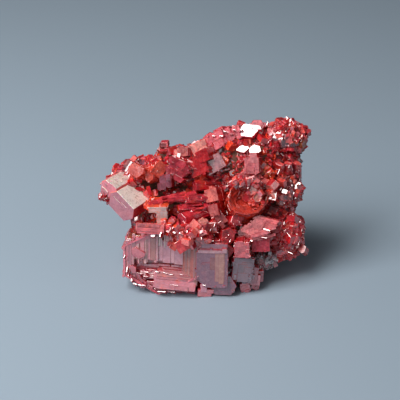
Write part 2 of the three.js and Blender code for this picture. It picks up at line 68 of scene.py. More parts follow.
MM = 0.001
SET_OVER = np.array([-0.279, 0.310, 0.0])  # the working centre, brought over the middle of the base
HEART = np.array([0.0, 2.5, 13.0])
BOULDERS = (((-4.2, 1, 6.2), (9.6, 8, 7.6)),
            ((5, 1.4, 6.6), (7.6, 8.2, 8.4)),
            ((-10.8, 2.8, 16.7), (6.6, 4.4, 3.8)),
            ((-4, 4, 17.6), (7.6, 5.2, 5.4)),
            ((3, 4.4, 17.4), (7.6, 5.8, 7.2)),
            ((8.8, 4.4, 21), (7.6, 5.2, 6.2)),
            ((11.4, 3, 11.4), (5.6, 5.8, 8)))
POCKET = ((-6.2, -2.4, 17.8), (4.4, 3.4, 2))
ROCK_ROWS = 190
ROCK_COLUMNS = 380
CRACKS = ((0.30, 1.6, 3), (0.10, 0.7, 4))  # depth, spacing and seed of the coarse and the fine cracks
LAYER = 0.45      # the rock breaks along layers this far apart
SUNK = 0.35       # how far the broken surface lies under the eggs' skin
FLOOR_GAP = 0.02  # nothing comes nearer to the floor than this


def waves(points, size, seed):
    """A smooth random field: the sum of sine waves in random directions, with wavelengths near `size`,
    over the root of their number."""
    count = 24
    rng = np.random.default_rng(seed)
    heading = rng.normal(size=(count, 3))
    heading /= np.linalg.norm(heading, axis=1, keepdims=True)
    heading *= 2 * math.pi / size * rng.uniform(0.6, 1.6, (count, 1))
    return np.sin(points @ heading.T + rng.uniform(0, 2 * math.pi, count)).sum(-1) / math.sqrt(count)


def crossings(direction, centre, size):
    """Where a ray from the heart enters and leaves an egg: both roots of |(heart + t ray - centre) / size|
    = 1, and whether there are any."""
    ray = direction / np.array(size)
    start = (HEART - np.array(centre)) / np.array(size)
    square = (ray**2).sum(-1)
    half = (ray * start).sum(-1)
    inside = half**2 - square * ((start**2).sum() - 1)
    root = np.sqrt(np.maximum(inside, 0))
    return (-half - root) / square, (-half + root) / square, inside > 0


def rock_reach(direction):
    """How far the rock goes from its heart: the farthest egg, but no farther than the pocket's wall."""
    reach = np.full(direction.shape[:-1], 2.0)
    for centre, size in BOULDERS:
        _, far, hit = crossings(direction, centre, size)
        reach = np.where(hit, np.maximum(reach, far), reach)
    near, _, hit = crossings(direction, *POCKET)
    return np.where(hit & (near > 0), np.minimum(reach, near), reach)


def grid_faces(rows, columns):
    """Quads of a grid that closes on itself round its columns."""
    i, j = np.meshgrid(np.arange(rows - 1), np.arange(columns), indexing="ij")
    after = (j + 1) % columns
    return np.stack([i * columns + j, i * columns + after,
                     (i + 1) * columns + after, (i + 1) * columns + j], -1).reshape(-1, 4)


def egg_directions(rows, columns):
    """Unit directions on a grid, from just above the bottom pole to just below the top one."""
    climb = np.linspace(-math.pi / 2, math.pi / 2, rows + 2)[1:-1, None]
    turn = np.linspace(0, 2 * math.pi, columns, endpoint=False)[None]
    return np.stack([np.cos(climb) * np.cos(turn), np.cos(climb) * np.sin(turn),
                     np.sin(climb) * np.ones_like(turn)], -1)


def closed_mesh(name, points):
    """A mesh of a grid of points, rows from the bottom up, with a pole at either end."""
    rows, columns = points.shape[:2]
    poles = points[[0, -1]].mean(1)
    around = np.arange(columns)
    after = (around + 1) % columns
    last_row = (rows - 1) * columns
    bottom = np.stack([after, around, np.full(columns, rows * columns)], -1)
    top = np.stack([last_row + around, last_row + after, np.full(columns, rows * columns + 1)], -1)
    faces = grid_faces(rows, columns).tolist() + bottom.tolist() + top.tolist()
    mesh = bpy.data.meshes.new(name)
    mesh.from_pydata(np.concatenate([points.reshape(-1, 3), poles]).tolist(), [], faces)
    return mesh


rock_ways = egg_directions(ROCK_ROWS, ROCK_COLUMNS)
rock_points = HEART + rock_ways * rock_reach(rock_ways)[..., None]
broken = 0.34 * waves(rock_points, 5.0, 1) + 0.22 * waves(rock_points, 2.0, 2)
broken += sum(deep * (0.5 - np.abs(waves(rock_points, apart, seed))) for deep, apart, seed in CRACKS)
broken += 0.05 * waves(rock_points, 0.35, 5)
broken = broken - SUNK + 0.22 * (np.round(broken / LAYER) * LAYER - broken)
rock_points = rock_points + rock_ways * broken[..., None] + SET_OVER
rock_points[..., 2] = np.maximum(rock_points[..., 2], FLOOR_GAP)


def shader_kit(material):
    """Short ways to wire one material: attribute, maths, noise, blend and steep."""
    tree = material.node_tree
    new, link = tree.nodes.new, tree.links.new

    class Kit:
        """The wiring calls of one node tree."""

        @staticmethod
        def wire(value, socket):
            """Sets the socket to a number or colour, or links it to another socket."""
            if isinstance(value, (int, float)):
                socket.default_value = value
            elif isinstance(value, tuple):
                socket.default_value = (*value, 1.0)
            elif value is not None:
                link(value, socket)

        @staticmethod
        def attribute(title, output="Color"):
            """A value that each face of the mesh carries."""
            node = new("ShaderNodeAttribute")
            node.attribute_name = title
            return node.outputs[output]

        @staticmethod
        def maths(kind, a, b=None, clamp=False):
            """One sum of two values."""
            node = new("ShaderNodeMath")
            node.operation = kind
            node.use_clamp = clamp
            Kit.wire(a, node.inputs[0])
            Kit.wire(b, node.inputs[1])
            return node.outputs[0]

        @staticmethod
        def noise(where, scale, detail=3.0, rough=0.55, warp=0.0):
            """Cloudy noise; the scale counts clouds to the metre."""
            node = new("ShaderNodeTexNoise")
            node.inputs["Scale"].default_value = scale
            node.inputs["Detail"].default_value = detail
            node.inputs["Roughness"].default_value = rough
            node.inputs["Distortion"].default_value = warp
            link(where, node.inputs["Vector"])
            return node.outputs["Fac"]

        @staticmethod
        def blend(factor, a, b, kind="MIX"):
            """Two colours mixed."""
            node = new("ShaderNodeMix")
            node.data_type = "RGBA"
            node.blend_type = kind
            Kit.wire(factor, node.inputs[0])
            Kit.wire(a, node.inputs[6])
            Kit.wire(b, node.inputs[7])
            return node.outputs[2]

        @staticmethod
        def steep(value, low, high, start=0.0, end=1.0):
            """A ramp from start to end as the value goes from low to high."""
            node = new("ShaderNodeMapRange")
            for socket, number in zip(node.inputs[1:5], (low, high, start, end), strict=True):
                socket.default_value = number
            link(value, node.inputs["Value"])
            return node.outputs["Result"]

        @staticmethod
        def bump(height, distance, strength=1.0):
            """Relief, in metres."""
            node = new("ShaderNodeBump")
            node.inputs["Strength"].default_value = strength
            node.inputs["Distance"].default_value = distance
            link(height, node.inputs["Height"])
            return node.outputs["Normal"]

    Kit.new, Kit.link = new, link
    Kit.skin = tree.nodes["Principled BSDF"]
    Kit.place = new("ShaderNodeTexCoord").outputs["Object"]
    return Kit


# The rock's clouds and patches, then its grains.
UMBER = (0.050, 0.016, 0.010)
OCHRE = (0.17, 0.062, 0.028)
CLAY = (0.20, 0.12, 0.085)
HEMATITE = (0.14, 0.022, 0.016)
QUARTZ = (0.36, 0.26, 0.20)
MANGANESE = (0.022, 0.016, 0.014)


def limonite(name):
    """Brown iron-stained rock: ochre and rust clouds, grey quartz grains, black manganese specks and a fine
    crumbling relief."""
    finish = bpy.data.materials.new(name)
    finish.use_nodes = True
    kit = shader_kit(finish)
    cloud = kit.noise(kit.place, 260, 5, 0.6, 0.4)
    patch = kit.noise(kit.place, 620, 4, 0.6)
    grain = kit.noise(kit.place, 2600, 4, 0.7)
    colour = kit.blend(kit.steep(cloud, 0.38, 0.62), UMBER, OCHRE)
    colour = kit.blend(kit.steep(patch, 0.58, 0.70), colour, CLAY)
    colour = kit.blend(kit.steep(patch, 0.44, 0.34), colour, HEMATITE)
    colour = kit.blend(kit.steep(grain, 0.62, 0.74), colour, QUARTZ)
    colour = kit.blend(kit.steep(grain, 0.40, 0.32), colour, MANGANESE)
    kit.link(colour, kit.skin.inputs["Base Color"])
    kit.link(kit.steep(grain, 0.35, 0.75, 0.92, 0.5), kit.skin.inputs["Roughness"])
    kit.skin.inputs["IOR"].default_value = 1.6
    height = kit.maths("ADD", grain, kit.maths("MULTIPLY", kit.noise(kit.place, 7000, 3, 0.7), 0.4))
    kit.link(kit.bump(height, 0.00022), kit.skin.inputs["Normal"])
    return finish


def settle(mesh, nodes, material):
    """Puts a mesh into the scene with its finish, to stand for its CAD nodes."""
    piece = bpy.data.objects.new(mesh.name, mesh)
    bpy.context.scene.collection.objects.link(piece)
    mesh.materials.append(material)
    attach(piece, "root")
    if nodes:
        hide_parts(*nodes)
    return piece


stained_rock = limonite("stained_rock")
settle(closed_mesh("matrix_rock", rock_points * MM), ["matrix"], stained_rock)

# ---------------------------------------------------------------------------------------------
# Tall tablet: the biggest flat crystal at the front, a lead vanadate prism with a dusky mauve end, its red
# under a painted grey reflection.
# Vanadinite grows as six-sided prisms that step in and out in thin ledges, with smaller prisms half
# sunk beside them on the same axis and thin plates lying on the free end.
# ---------------------------------------------------------------------------------------------

CRIMSON = (0.36, 0.012, 0.028)
# The mauve of end faces is the red crystal under a painted grey reflection.
MAUVE_SHEEN = (0.205, 0.112, 0.16)
BEIGE = (0.46, 0.27, 0.19)
# Pale bands laid on the tall tablet's end are painted highlights.
HIGHLIGHT_BAND = (0.46, 0.34, 0.36)
NARROWEST = 0.02    # no side comes closer to its axis than this
LEDGE_STEP = 0.015  # how high a growth ledge steps
SIDE_GLOSS = 0.09
ROOT_GLOSS = 0.3
STRAY = 0.25        # how far the colour of a neighbouring crystal strays from the main one's


def axes_of(toward, turn):
    """Rows: across, upright and out along each crystal's axis, the first two turned about the third by
    `turn` degrees."""
    toward = np.asarray(toward, float)
    axis = toward / np.linalg.norm(toward, axis=-1, keepdims=True)
    up = np.where(np.abs(axis[..., 2:]) > 0.95, [0.0, 1.0, 0.0], [0.0, 0.0, 1.0])
    across = np.cross(up, axis)
    across /= np.linalg.norm(across, axis=-1, keepdims=True)
    upright = np.cross(axis, across)
    angle = np.radians(np.asarray(turn, float))[..., None]
    c, s = np.cos(angle), np.sin(angle)
    return np.stack([across * c + upright * s, upright * c - across * s, axis], -2)


def corners_of(reach):
    """Corners where neighbouring sides meet. Side k faces k/n of a turn at distance reach[..., k], and a
    side is drawn in until it has some length, so that the outline never crosses itself."""
    n = reach.shape[-1]
    apart = 2 * math.pi / n
    if n > 4:
        for _ in range(3):
            meet = (np.roll(reach, 1, -1) + np.roll(reach, -1, -1)) / (2 * math.cos(apart))
            reach = np.minimum(reach, meet - 0.01)
    facing = np.arange(n) * apart
    along = (np.roll(reach, -1, -1) - reach * math.cos(apart)) / math.sin(apart)
    x = reach * np.cos(facing) - along * np.sin(facing)
    y = reach * np.sin(facing) + along * np.cos(facing)
    return np.stack([x, y], -1)


class Cluster:
    """Collects crystals as arrays, with a colour and a finish for every face, and makes one mesh of
    them."""

    def __init__(self, seed):
        self.rng = np.random.default_rng(seed)
        self.points, self.faces, self.paint = [], [], []
        self.count = 0

    def prisms(self, at, axes, reach, heights, insets, end_row, side, end, end_gloss=0.06, dull=0.0,
               end_dull=0.0, chamfer=0.05, splits=1, ragged=0.0, wander=0.12):
        """Many prisms of one kind, as a grid for each. Columns go round the outline: a side is a straight
        run held a chamfer short of its corners. Rows climb the axis to `heights`, each side drawn in by
        `insets`, up the sides and over the free end from `end_row` on. The two ends are flat caps."""
        at, reach, heights = np.atleast_2d(at), np.atleast_2d(reach), np.atleast_2d(heights)
        many, sides = reach.shape
        rows = heights.shape[1]
        insets = np.broadcast_to(insets, (many, rows, sides))
        ends = corners_of(np.maximum(reach[:, None] - insets, NARROWEST))
        starts = np.roll(ends, 1, 2)
        edge = ends - starts
        run = np.linalg.norm(edge, axis=-1, keepdims=True)
        cut = np.minimum(np.reshape(chamfer, (-1, 1, 1, 1)) / np.maximum(run, 1e-6), 0.3)
        share = cut + (1 - 2 * cut) * np.linspace(0, 1, splits + 1)
        ring = starts[..., None, :] + edge[..., None, :] * share[..., None]
        columns = sides * (splits + 1)
        ring = ring.reshape(many, rows, columns, 2)
        if ragged:
            push = self.rng.normal(0, ragged, (many, 1, columns, 2)) * (np.arange(rows) > 0)[:, None, None]
            ring = ring + push
        level = np.broadcast_to(heights[:, :, None, None], (many, rows, columns, 1))
        points = np.concatenate([ring, level], -1).reshape(many, -1, 3)
        axes = np.reshape(axes, (-1, 3, 3))
        placed = points @ axes + at[:, None] + SET_OVER
        quads = grid_faces(rows, columns)
        step = (np.arange(many) * rows * columns + self.count)[:, None, None]
        caps = np.stack([np.arange(columns)[::-1], (rows - 1) * columns + np.arange(columns)])
        self.faces += (quads + step).reshape(-1, 4).tolist() + (caps + step).reshape(-1, columns).tolist()
        self.points.append(placed.reshape(-1, 3))
        self.count += many * rows * columns

        row, column = np.divmod(quads[:, 0], columns)
        which = column // (splits + 1)
        on_end = row >= end_row
        side = np.broadcast_to(np.asarray(side, float), (many, sides, 3))
        end = np.broadcast_to(np.asarray(end, float), (many, 3))
        hue = np.where(on_end[:, None], end[:, None], side[:, which])
        shift = self.rng.uniform(1 - wander, 1 + wander, (many, rows * sides))
        hue = hue * shift[:, row * sides + which, None]
        dull = np.broadcast_to(dull, (many, sides))[:, which]
        kind = np.stack(np.broadcast_arrays(np.where(on_end, end_gloss, SIDE_GLOSS),
                                            np.where(on_end, end_dull, dull), on_end * 1.0), -1)
        line = np.broadcast_to(axes[:, None, 2], (many, 1, 3))
        cap_hue = np.stack([side[:, 0], end], 1)
        cap_kind = np.broadcast_to([[ROOT_GLOSS, 0, 0], [end_gloss, end_dull, 1]], (many, 2, 3))
        for faces, tone, finish in ((len(quads), hue, kind), (2, cap_hue, cap_kind)):
            grain = np.broadcast_to(line, (many, faces, 3))
            self.paint.append(np.stack([tone, finish, grain], 2).reshape(-1, 3, 3))

    def mesh(self, name):
        """The joined mesh, in metres, with its face attributes, flat shaded, standing on the floor."""
        points = np.concatenate(self.points) * MM
        points[:, 2] = np.maximum(points[:, 2], FLOOR_GAP * MM)
        mesh = bpy.data.meshes.new(name)
        mesh.from_pydata(points.tolist(), [], self.faces)
        paint = np.concatenate(self.paint)
        for k, title in enumerate(("hue", "finish", "grain")):
            values = np.ones((len(paint), 4), np.float32)
            values[:, :3] = paint[:, k]
            carried = mesh.attributes.new(title, "FLOAT_COLOR", "FACE")
            carried.data.foreach_set("color", values.ravel())
        return mesh


def neighbours(cluster, at, axes, reach, length, count, size, place, proud, side, end, look):
    """Smaller prisms half sunk in the sides of a main one, on its axis: each stands at a random angle, a
    `place` share of the way out, and is a `size` share as wide. A `proud` share end a little higher than
    the main prism and the rest lower, by a random power of its length."""
    rng = cluster.rng
    sides = len(reach)
    angle = rng.uniform(0, 2 * math.pi, count)
    facing = np.arange(sides) * 2 * math.pi / sides
    limit = (reach / np.maximum(np.cos(angle[:, None] - facing), 0.15)).min(1)
    out = limit * rng.uniform(*place, count)
    stands = rng.random(count) < proud
    drop = np.where(stands, -rng.uniform(0.02, 0.12, count) * min(reach.mean(), 1.5),
                    rng.uniform(0.0, 1.0, count) ** 1.6 * length * 0.55)
    shift = np.stack([np.cos(angle) * out, np.sin(angle) * out, -drop], -1)
    low = reach * rng.uniform(*size, (count, 1)) * rng.uniform(0.6, 1.4, (count, sides))
    depth = np.minimum(length * 0.95 - np.maximum(drop, 0), low.mean(1) * 12)
    bevel = np.minimum(0.04, low.mean(1) * 0.08)
    heights = np.stack([-depth, -depth * 0.4, -depth * 0.4 + LEDGE_STEP, -bevel, 0 * bevel], -1)
    insets = np.stack([0 * bevel, 0 * bevel, bevel, bevel, 2 * bevel], -1)[..., None]
    cluster.prisms(np.asarray(at) + shift @ axes, axes, low, heights, insets, 4,
                   side * rng.uniform(1 - STRAY, 1 + STRAY, (count, 1, 1)),
                   np.array(end) * rng.uniform(1 - STRAY, 1 + STRAY, (count, 1)),
                   chamfer=bevel, **look)


def thin_plates(cluster, at, axes, reach, count, side, end, look):
    """Thin growths on the free end, a few hundredths of its width high, drawn inside its outline."""
    rng = cluster.rng
    wide = reach.mean()
    angle = rng.uniform(0, 2 * math.pi, count)
    size = rng.uniform(0.12, 0.5, count)
    out = wide * rng.uniform(0.1, 0.85 - size * 0.8)
    lift = rng.uniform(0.015, 0.06, count) * wide
    shift = np.stack([np.cos(angle) * out, np.sin(angle) * out, lift], -1)
    low = reach * size[:, None] * rng.uniform(0.5, 1.5, (count, len(reach)))
    heights = np.stack([-0.3 - 0 * lift, -0.4 * lift, 0 * lift], -1)
    cluster.prisms(np.asarray(at) + shift @ axes, axes, low, heights, np.reshape([0, 0, 0.02], (1, 3, 1)),
                   2, side, np.array(end) * rng.uniform(1 - STRAY, 1 + STRAY, (count, 1)), chamfer=0.02,
                   **look)


def grow(cluster, at, toward, reach, length, turn=0, side=CRIMSON, end=MAUVE_SHEEN, ledges=4, clones=8, plates=4,
         terraces=(), dull=0.0, end_dull=0.0, end_gloss=0.06, clone_size=(0.22, 0.55), belly=0.0, proud=0.3,
         fringe=10):
    """A crystal with its neighbours on the same axis. The main prism steps in and out by `ledges`, and
    swells by `belly` in its middle; `clones` smaller prisms stand half sunk in its sides; a `fringe` of
    very small ones notches its edges; `plates` thin growths lie on its free end; `terraces` lists (inset,
    height) steps of a hollow end."""
    rng = cluster.rng
    reach = np.asarray(reach, float)
    sides = len(reach)
    axes = axes_of(toward, turn)
    wide = reach.mean()
    rim = min(0.07, wide * 0.05)
    side = np.broadcast_to(np.asarray(side, float), (sides, 3))
    levels = [(-length, rng.uniform(0, 0.1, sides) * wide)]
    for height in np.sort(rng.uniform(-length * 0.8, -0.08 * length, ledges)):
        levels.append((height, levels[-1][1]))
        swell = belly * abs(height / length + 0.3)
        levels.append((height + LEDGE_STEP, rng.uniform(0, 0.085, sides) * wide + swell))
    levels += [(-rim, levels[-1][1] * 0.4), (0.0, levels[-1][1] * 0.4 + rim)]
    end_row = len(levels) - 1
    levels += [(height, inset * rng.uniform(0.75, 1.3, sides)) for inset, height in terraces]
    heights, insets = zip(*levels, strict=True)
    insets = np.array([[np.broadcast_to(inset, sides) for inset in insets]])
    look = dict(end_gloss=end_gloss, dull=dull, end_dull=end_dull)
    cluster.prisms(at, axes, reach, [heights], insets, end_row, side, end, chamfer=rim, **look)
    notches = int(fringe * wide)
    notch_size = (min(0.07, 0.16 / wide), min(0.2, 0.42 / wide))
    for count, size, place in ((clones, clone_size, (0.6, 0.95)), (notches, notch_size, (0.86, 1.03))):
        if count:
            neighbours(cluster, at, axes, reach, length, count, size, place, proud, side, end,
                       dict(look, splits=int(count == clones)))
    if plates:
        thin_plates(cluster, at, axes, reach, plates, side, end, look)


# Depth and milkiness inside a crystal, an orange that is partly colour zoning and partly a painted glow of
# light shining through, then the marks in the powder of a frosted side.
DEEPER = (0.40, 0.14, 0.22)
ZONED_GLOW_ORANGE = (0.82, 0.085, 0.018)
MILKY = (0.24, 0.13, 0.13)
SMEARED = (0.50, 0.34, 0.29)
STAINED = (0.60, 0.22, 0.15)
SCRATCHED = (0.16, 0.09, 0.08)
SPECKED = (0.09, 0.05, 0.04)


def vanadinite(name, glow=0.25, mottle=0.8, streak=0.25, pits=0.0, powder=(0.98, 0.90, 0.83),
               tint=(1.25, 0.62, 0.66)):
    """Adamantine crystal: a translucent body under a bright mirror skin. Each face brings its own colour
    and finish; blotches and streaks along the crystal's axis vary them, dull faces take a pale powder with
    dark scratches, and fine growth lines across the axis stand up as relief."""
    finish = bpy.data.materials.new(name)
    finish.use_nodes = True
    kit = shader_kit(finish)
    kinds = kit.new("ShaderNodeSeparateColor")
    kit.link(kit.attribute("finish"), kinds.inputs[0])
    gloss, dull, end = kinds.outputs
    axis = kit.attribute("grain", "Vector")
    dot = kit.new("ShaderNodeVectorMath")
    dot.operation = "DOT_PRODUCT"
    kit.link(kit.place, dot.inputs[0])
    kit.link(axis, dot.inputs[1])
    along = dot.outputs["Value"]
    drawn = kit.new("ShaderNodeVectorMath")
    drawn.operation = "MULTIPLY_ADD"
    kit.link(axis, drawn.inputs[0])
    shrink = kit.new("ShaderNodeCombineXYZ")
    pull = kit.maths("MULTIPLY", along, -0.88)
    for socket in shrink.inputs:
        kit.link(pull, socket)
    kit.link(shrink.outputs[0], drawn.inputs[1])
    kit.link(kit.place, drawn.inputs[2])
    stretched = drawn.outputs[0]

    blotch = kit.noise(kit.place, 620, 4, 0.6, 0.3)
    veil = kit.noise(kit.place, 1500, 4, 0.65, 0.8)
    fleck = kit.noise(kit.place, 3600, 3, 0.7)
    streaks = kit.noise(stretched, 2400, 4, 0.65)
    crossing = kit.new("ShaderNodeTexNoise")
    crossing.noise_dimensions = "1D"
    crossing.inputs["Scale"].default_value = 3200
    crossing.inputs["Detail"].default_value = 4
    kit.link(along, crossing.inputs["W"])
    lines = crossing.outputs[0]

    colour = kit.blend(1.0, kit.attribute("hue"), tint, "MULTIPLY")
    deep = kit.blend(1.0, colour, DEEPER, "MULTIPLY")
    colour = kit.blend(kit.maths("MULTIPLY", kit.steep(blotch, 0.44, 0.68), mottle), colour, deep)
    # Orange blotches on the side faces, fewer on the ends: partly the crystal's colour zoning, partly a
    # painted glow of light passing through.
    not_end = kit.maths("SUBTRACT", 0.42, kit.maths("MULTIPLY", end, 0.34))
    zoning_and_glow = kit.maths("MULTIPLY", kit.steep(blotch, 0.47, 0.34), not_end)
    colour = kit.blend(zoning_and_glow, colour, ZONED_GLOW_ORANGE)
    colour = kit.blend(kit.maths("MULTIPLY", kit.steep(veil, 0.50, 0.70), mottle), colour, deep)
    pale = kit.blend(1.0, colour, MILKY, "ADD")
    colour = kit.blend(kit.maths("MULTIPLY", kit.steep(veil, 0.42, 0.28), 0.55), colour, pale)
    colour = kit.blend(kit.maths("MULTIPLY", kit.steep(streaks, 0.46, 0.72), streak), colour, pale)
    smear = kit.noise(kit.place, 1300, 5, 0.7, 1.2)
    dusty = kit.blend(kit.steep(smear, 0.50, 0.68), powder, SMEARED)
    dusty = kit.blend(kit.steep(blotch, 0.66, 0.80), dusty, STAINED)
    dusty = kit.blend(kit.steep(streaks, 0.64, 0.72), dusty, SCRATCHED)
    dusty = kit.blend(kit.steep(fleck, 0.60, 0.68), dusty, SPECKED)
    colour = kit.blend(kit.maths("MULTIPLY", dull, 0.85), colour, dusty)
    kit.link(colour, kit.skin.inputs["Base Color"])

    worn = kit.maths("ADD", gloss, kit.steep(fleck, 0.52, 0.80, 0.0, 0.18))
    worn = kit.maths("ADD", worn, kit.maths("MULTIPLY", dull, 0.42), True)
    kit.link(worn, kit.skin.inputs["Roughness"])
    kit.skin.inputs["IOR"].default_value = 2.35
    kit.skin.inputs["Subsurface Weight"].default_value = glow
    kit.skin.inputs["Subsurface Radius"].default_value = (1.0, 0.16, 0.07)
    kit.skin.inputs["Subsurface Scale"].default_value = 0.0008

    relief = kit.maths("ADD", kit.maths("MULTIPLY", lines, 0.7), kit.maths("MULTIPLY", streaks, 0.35))
    relief = kit.maths("ADD", relief, kit.maths("MULTIPLY", fleck, 0.25 + pits))
    kit.link(kit.bump(relief, 0.00003 + 0.00005 * pits, 0.6), kit.skin.inputs["Normal"])
    return finish


ruby_crystal = vanadinite("ruby_crystal")
dusky_crystal = vanadinite("dusky_crystal", glow=0.2, mottle=0.3, streak=0.3, tint=(1.2, 0.8, 0.88))

tablet = Cluster(1)
TABLET_AT = np.array((1.6, -10.8, 5.9))
FACING = (-0.05, -1, 0.2)
grow(tablet, TABLET_AT, FACING, (3, 4.7, 3.9, 4.3, 3, 3.6, 3.9, 4.6), 9, clones=0, plates=2, ledges=7)
grow(tablet, (3.4, -10.9, 2.0), FACING, (2.6, 2.2, 2.2, 1.9, 1.7, 2.4), 7, 30, clones=3, plates=2, fringe=4)
front = axes_of(FACING, 0)
# Thin plates on its end: beige and brown stains, darker patches, and pale bands that are painted
# highlights.
for x, y, lift, wide, tone in ((1.75, -0.3, 0.05, (0.45, 3.1, 0.5, 2.6), BEIGE),
                               (1.15, -0.1, 0.03, (1.2, 3.2, 0.6, 2.4), (0.40, 0.22, 0.17)),
                               (0.35, 1.3, 0.02, (0.5, 0.9, 0.7, 1.5), (0.26, 0.10, 0.10)),
                               (0.0, 3.35, 0.12, (2.7, 0.35, 2.6, 0.3), HIGHLIGHT_BAND),
                               (0.6, 4.1, -0.25, (2.2, 0.7, 2.6, 0.6), (0.27, 0.15, 0.19)),
                               (2.2, 3.7, 0.3, (0.5, 0.45, 0.4, 0.5), HIGHLIGHT_BAND)):
    spot = TABLET_AT + np.array((x, y, lift)) @ front
    tablet.prisms(spot, front, wide, [[-0.8, -0.03, 0.0]], np.reshape([0, 0, 0.04], (1, 3, 1)), 2,
                  CRIMSON, tone, end_gloss=0.12, chamfer=0.03)
settle(tablet.mesh("tall_tablet_crystal"), ["tall_tablet"], dusky_crystal)

# ---------------------------------------------------------------------------------------------
# Hopper crystal: a big prism whose free end grew fastest at its rim, so that it is a stepped
# hollow. Upright columns hang in it like a curtain, with long level terraces along its foot.
# ---------------------------------------------------------------------------------------------

PINK = (0.50, 0.15, 0.19)
BROWN = (0.30, 0.10, 0.045)
hopper = Cluster(2)
HOPPER_AT = np.array((-7.3, -9.3, 6.3))
HOPPER_WAY = (-0.12, -1, 0.2)
HOPPER_TERRACES = ((0.5, 0.03), (0.55, -0.2), (0.9, -0.25), (0.95, -0.6), (1.3, -0.65), (1.4, -1.5),
                   (4.0, -1.6))
grow(hopper, HOPPER_AT, HOPPER_WAY, (6.8, 6.4, 6.4, 7.6, 6.6, 5.8), 9, side=(0.50, 0.10, 0.12),
     end=(0.66, 0.24, 0.28), clones=14, plates=0, ledges=10, clone_size=(0.08, 0.2), belly=0.5, fringe=9,
     proud=0.15, terraces=HOPPER_TERRACES)
inward = axes_of(HOPPER_WAY, 0)


def stack(cluster, at, axes, middles, reach, side, end, length=3.0, **look):
    """Prisms side by side on one axis: middles are (across, upright, height), reach is for each side."""
    middles, reach = np.asarray(middles, float), np.asarray(reach, float)
    rim = np.minimum(0.05, reach.min(1) * 0.25)
    heights = np.stack([-length - 0 * rim, -rim, 0 * rim], -1)
    insets = np.stack([0 * rim, 0 * rim, rim], -1)[..., None]
    cluster.prisms(np.asarray(at) + middles @ axes, axes, reach, heights, insets, 2, side, end,
                   chamfer=rim, **look)


SKY_WAY = (-0.23, -0.59, 0.77)


def skyward(cluster, spots, tone=(0.5, 0.36, 0.37), lean=0.03):
    """Small blocks whose ends face the sky and flash: each spot is a place, then how far the block goes
    across and how far upright."""
    spots = np.asarray(spots, float)
    toward = np.array(SKY_WAY) + cluster.rng.normal(0, lean, (len(spots), 3))
    axes = axes_of(toward, cluster.rng.uniform(-12, 12, len(spots)))
    reach = spots[:, [3, 4, 3, 4]] * cluster.rng.uniform(0.4, 0.95, (len(spots), 4))
    heights = np.tile([-0.9, -0.02, 0.0], (len(spots), 1))
    cluster.prisms(spots[:, :3], axes, reach, heights, np.reshape([0, 0, 0.02], (1, 3, 1)), 2,
                   CRIMSON, tone, end_gloss=0.05, chamfer=0.02)


def sparkle(cluster, at, size, count):
    """Bright slivers scattered over the front of an egg-shaped lump."""
    turn = cluster.rng.uniform(-2.6, -0.35, count)
    climb = cluster.rng.uniform(-0.6, 0.85, count)
    flat = np.sqrt(1 - climb**2)
    ball = np.stack([flat * np.cos(turn), flat * np.sin(turn), climb], -1)
    small = cluster.rng.uniform((0.05, 0.08), (0.12, 0.45), (count, 2))
    skyward(cluster, np.hstack([np.array(at) + ball * np.array(size), small]), lean=0.06)


def slabs(rng, count, across, low, high, height, thick):
    """Middles and reaches of `count` upright slabs: spread evenly across, their feet, heads and widths
    drawn between limits; `height` gives the height of the ends at the first and the last slab."""
    x = np.linspace(*across, count) + rng.uniform(-0.06, 0.06, count)
    foot = rng.uniform(*low, count)
    head = rng.uniform(*high, count)
    rise = np.linspace(*height, count) + rng.uniform(-0.07, 0.07, count)
    width = rng.uniform(*thick, count)
    middles = np.stack([x, (foot + head) / 2, rise], -1)
    return middles, np.stack([width, (head - foot) / 2, width, (head - foot) / 2], -1)


DUSTY_MAUVE = ((0.60, 0.34, 0.38), (0.74, 0.46, 0.42), (0.62, 0.24, 0.28), (0.74, 0.38, 0.38),
               (0.38, 0.14, 0.12))
RUSTY = ((0.34, 0.07, 0.05), (0.42, 0.15, 0.11), (0.18, 0.02, 0.02), (0.46, 0.06, 0.04), (0.30, 0.09, 0.09))
ASHEN = ((0.60, 0.40, 0.44), (0.64, 0.45, 0.47), (0.56, 0.36, 0.40))
PINKS = ((0.46, 0.12, 0.15), (0.56, 0.22, 0.25), (0.36, 0.07, 0.09), (0.52, 0.30, 0.31))
for count, across, low, high, height, thick, tones, dust in (
        (11, (-5.0, -1.2), (-0.8, 0.7), (4.6, 5.8), (-0.3, -0.5), (0.14, 0.5), DUSTY_MAUVE, 0.1),
        (4, (-0.5, 2.8), (-0.6, 0.1), (3.6, 4.4), (-0.62, -0.62), (0.7, 0.9), ASHEN, 0.0),
        (9, (-0.9, 3.2), (2.2, 3.8), (5.4, 5.9), (-0.55, -0.6), (0.12, 0.4),
         ((0.25, 0.10, 0.09), *ASHEN), 0.5),
        (16, (3.5, 6.2), (-4.4, -2.8), (2.6, 4.4), (-0.7, 0.08), (0.10, 0.2), RUSTY, 0.1),
        (6, (-6.7, -5.3), (-2.4, 0.4), (3.4, 5.4), (0.05, -0.3), (0.2, 0.45), PINKS, 0.0)):
    middles, reach = slabs(hopper.rng, count, across, low, high, height, thick)
    tones = np.array(tones)[hopper.rng.integers(0, len(tones), count)]
    stack(hopper, HOPPER_AT, inward, middles, reach, BROWN, tones, end_gloss=0.14, end_dull=dust)

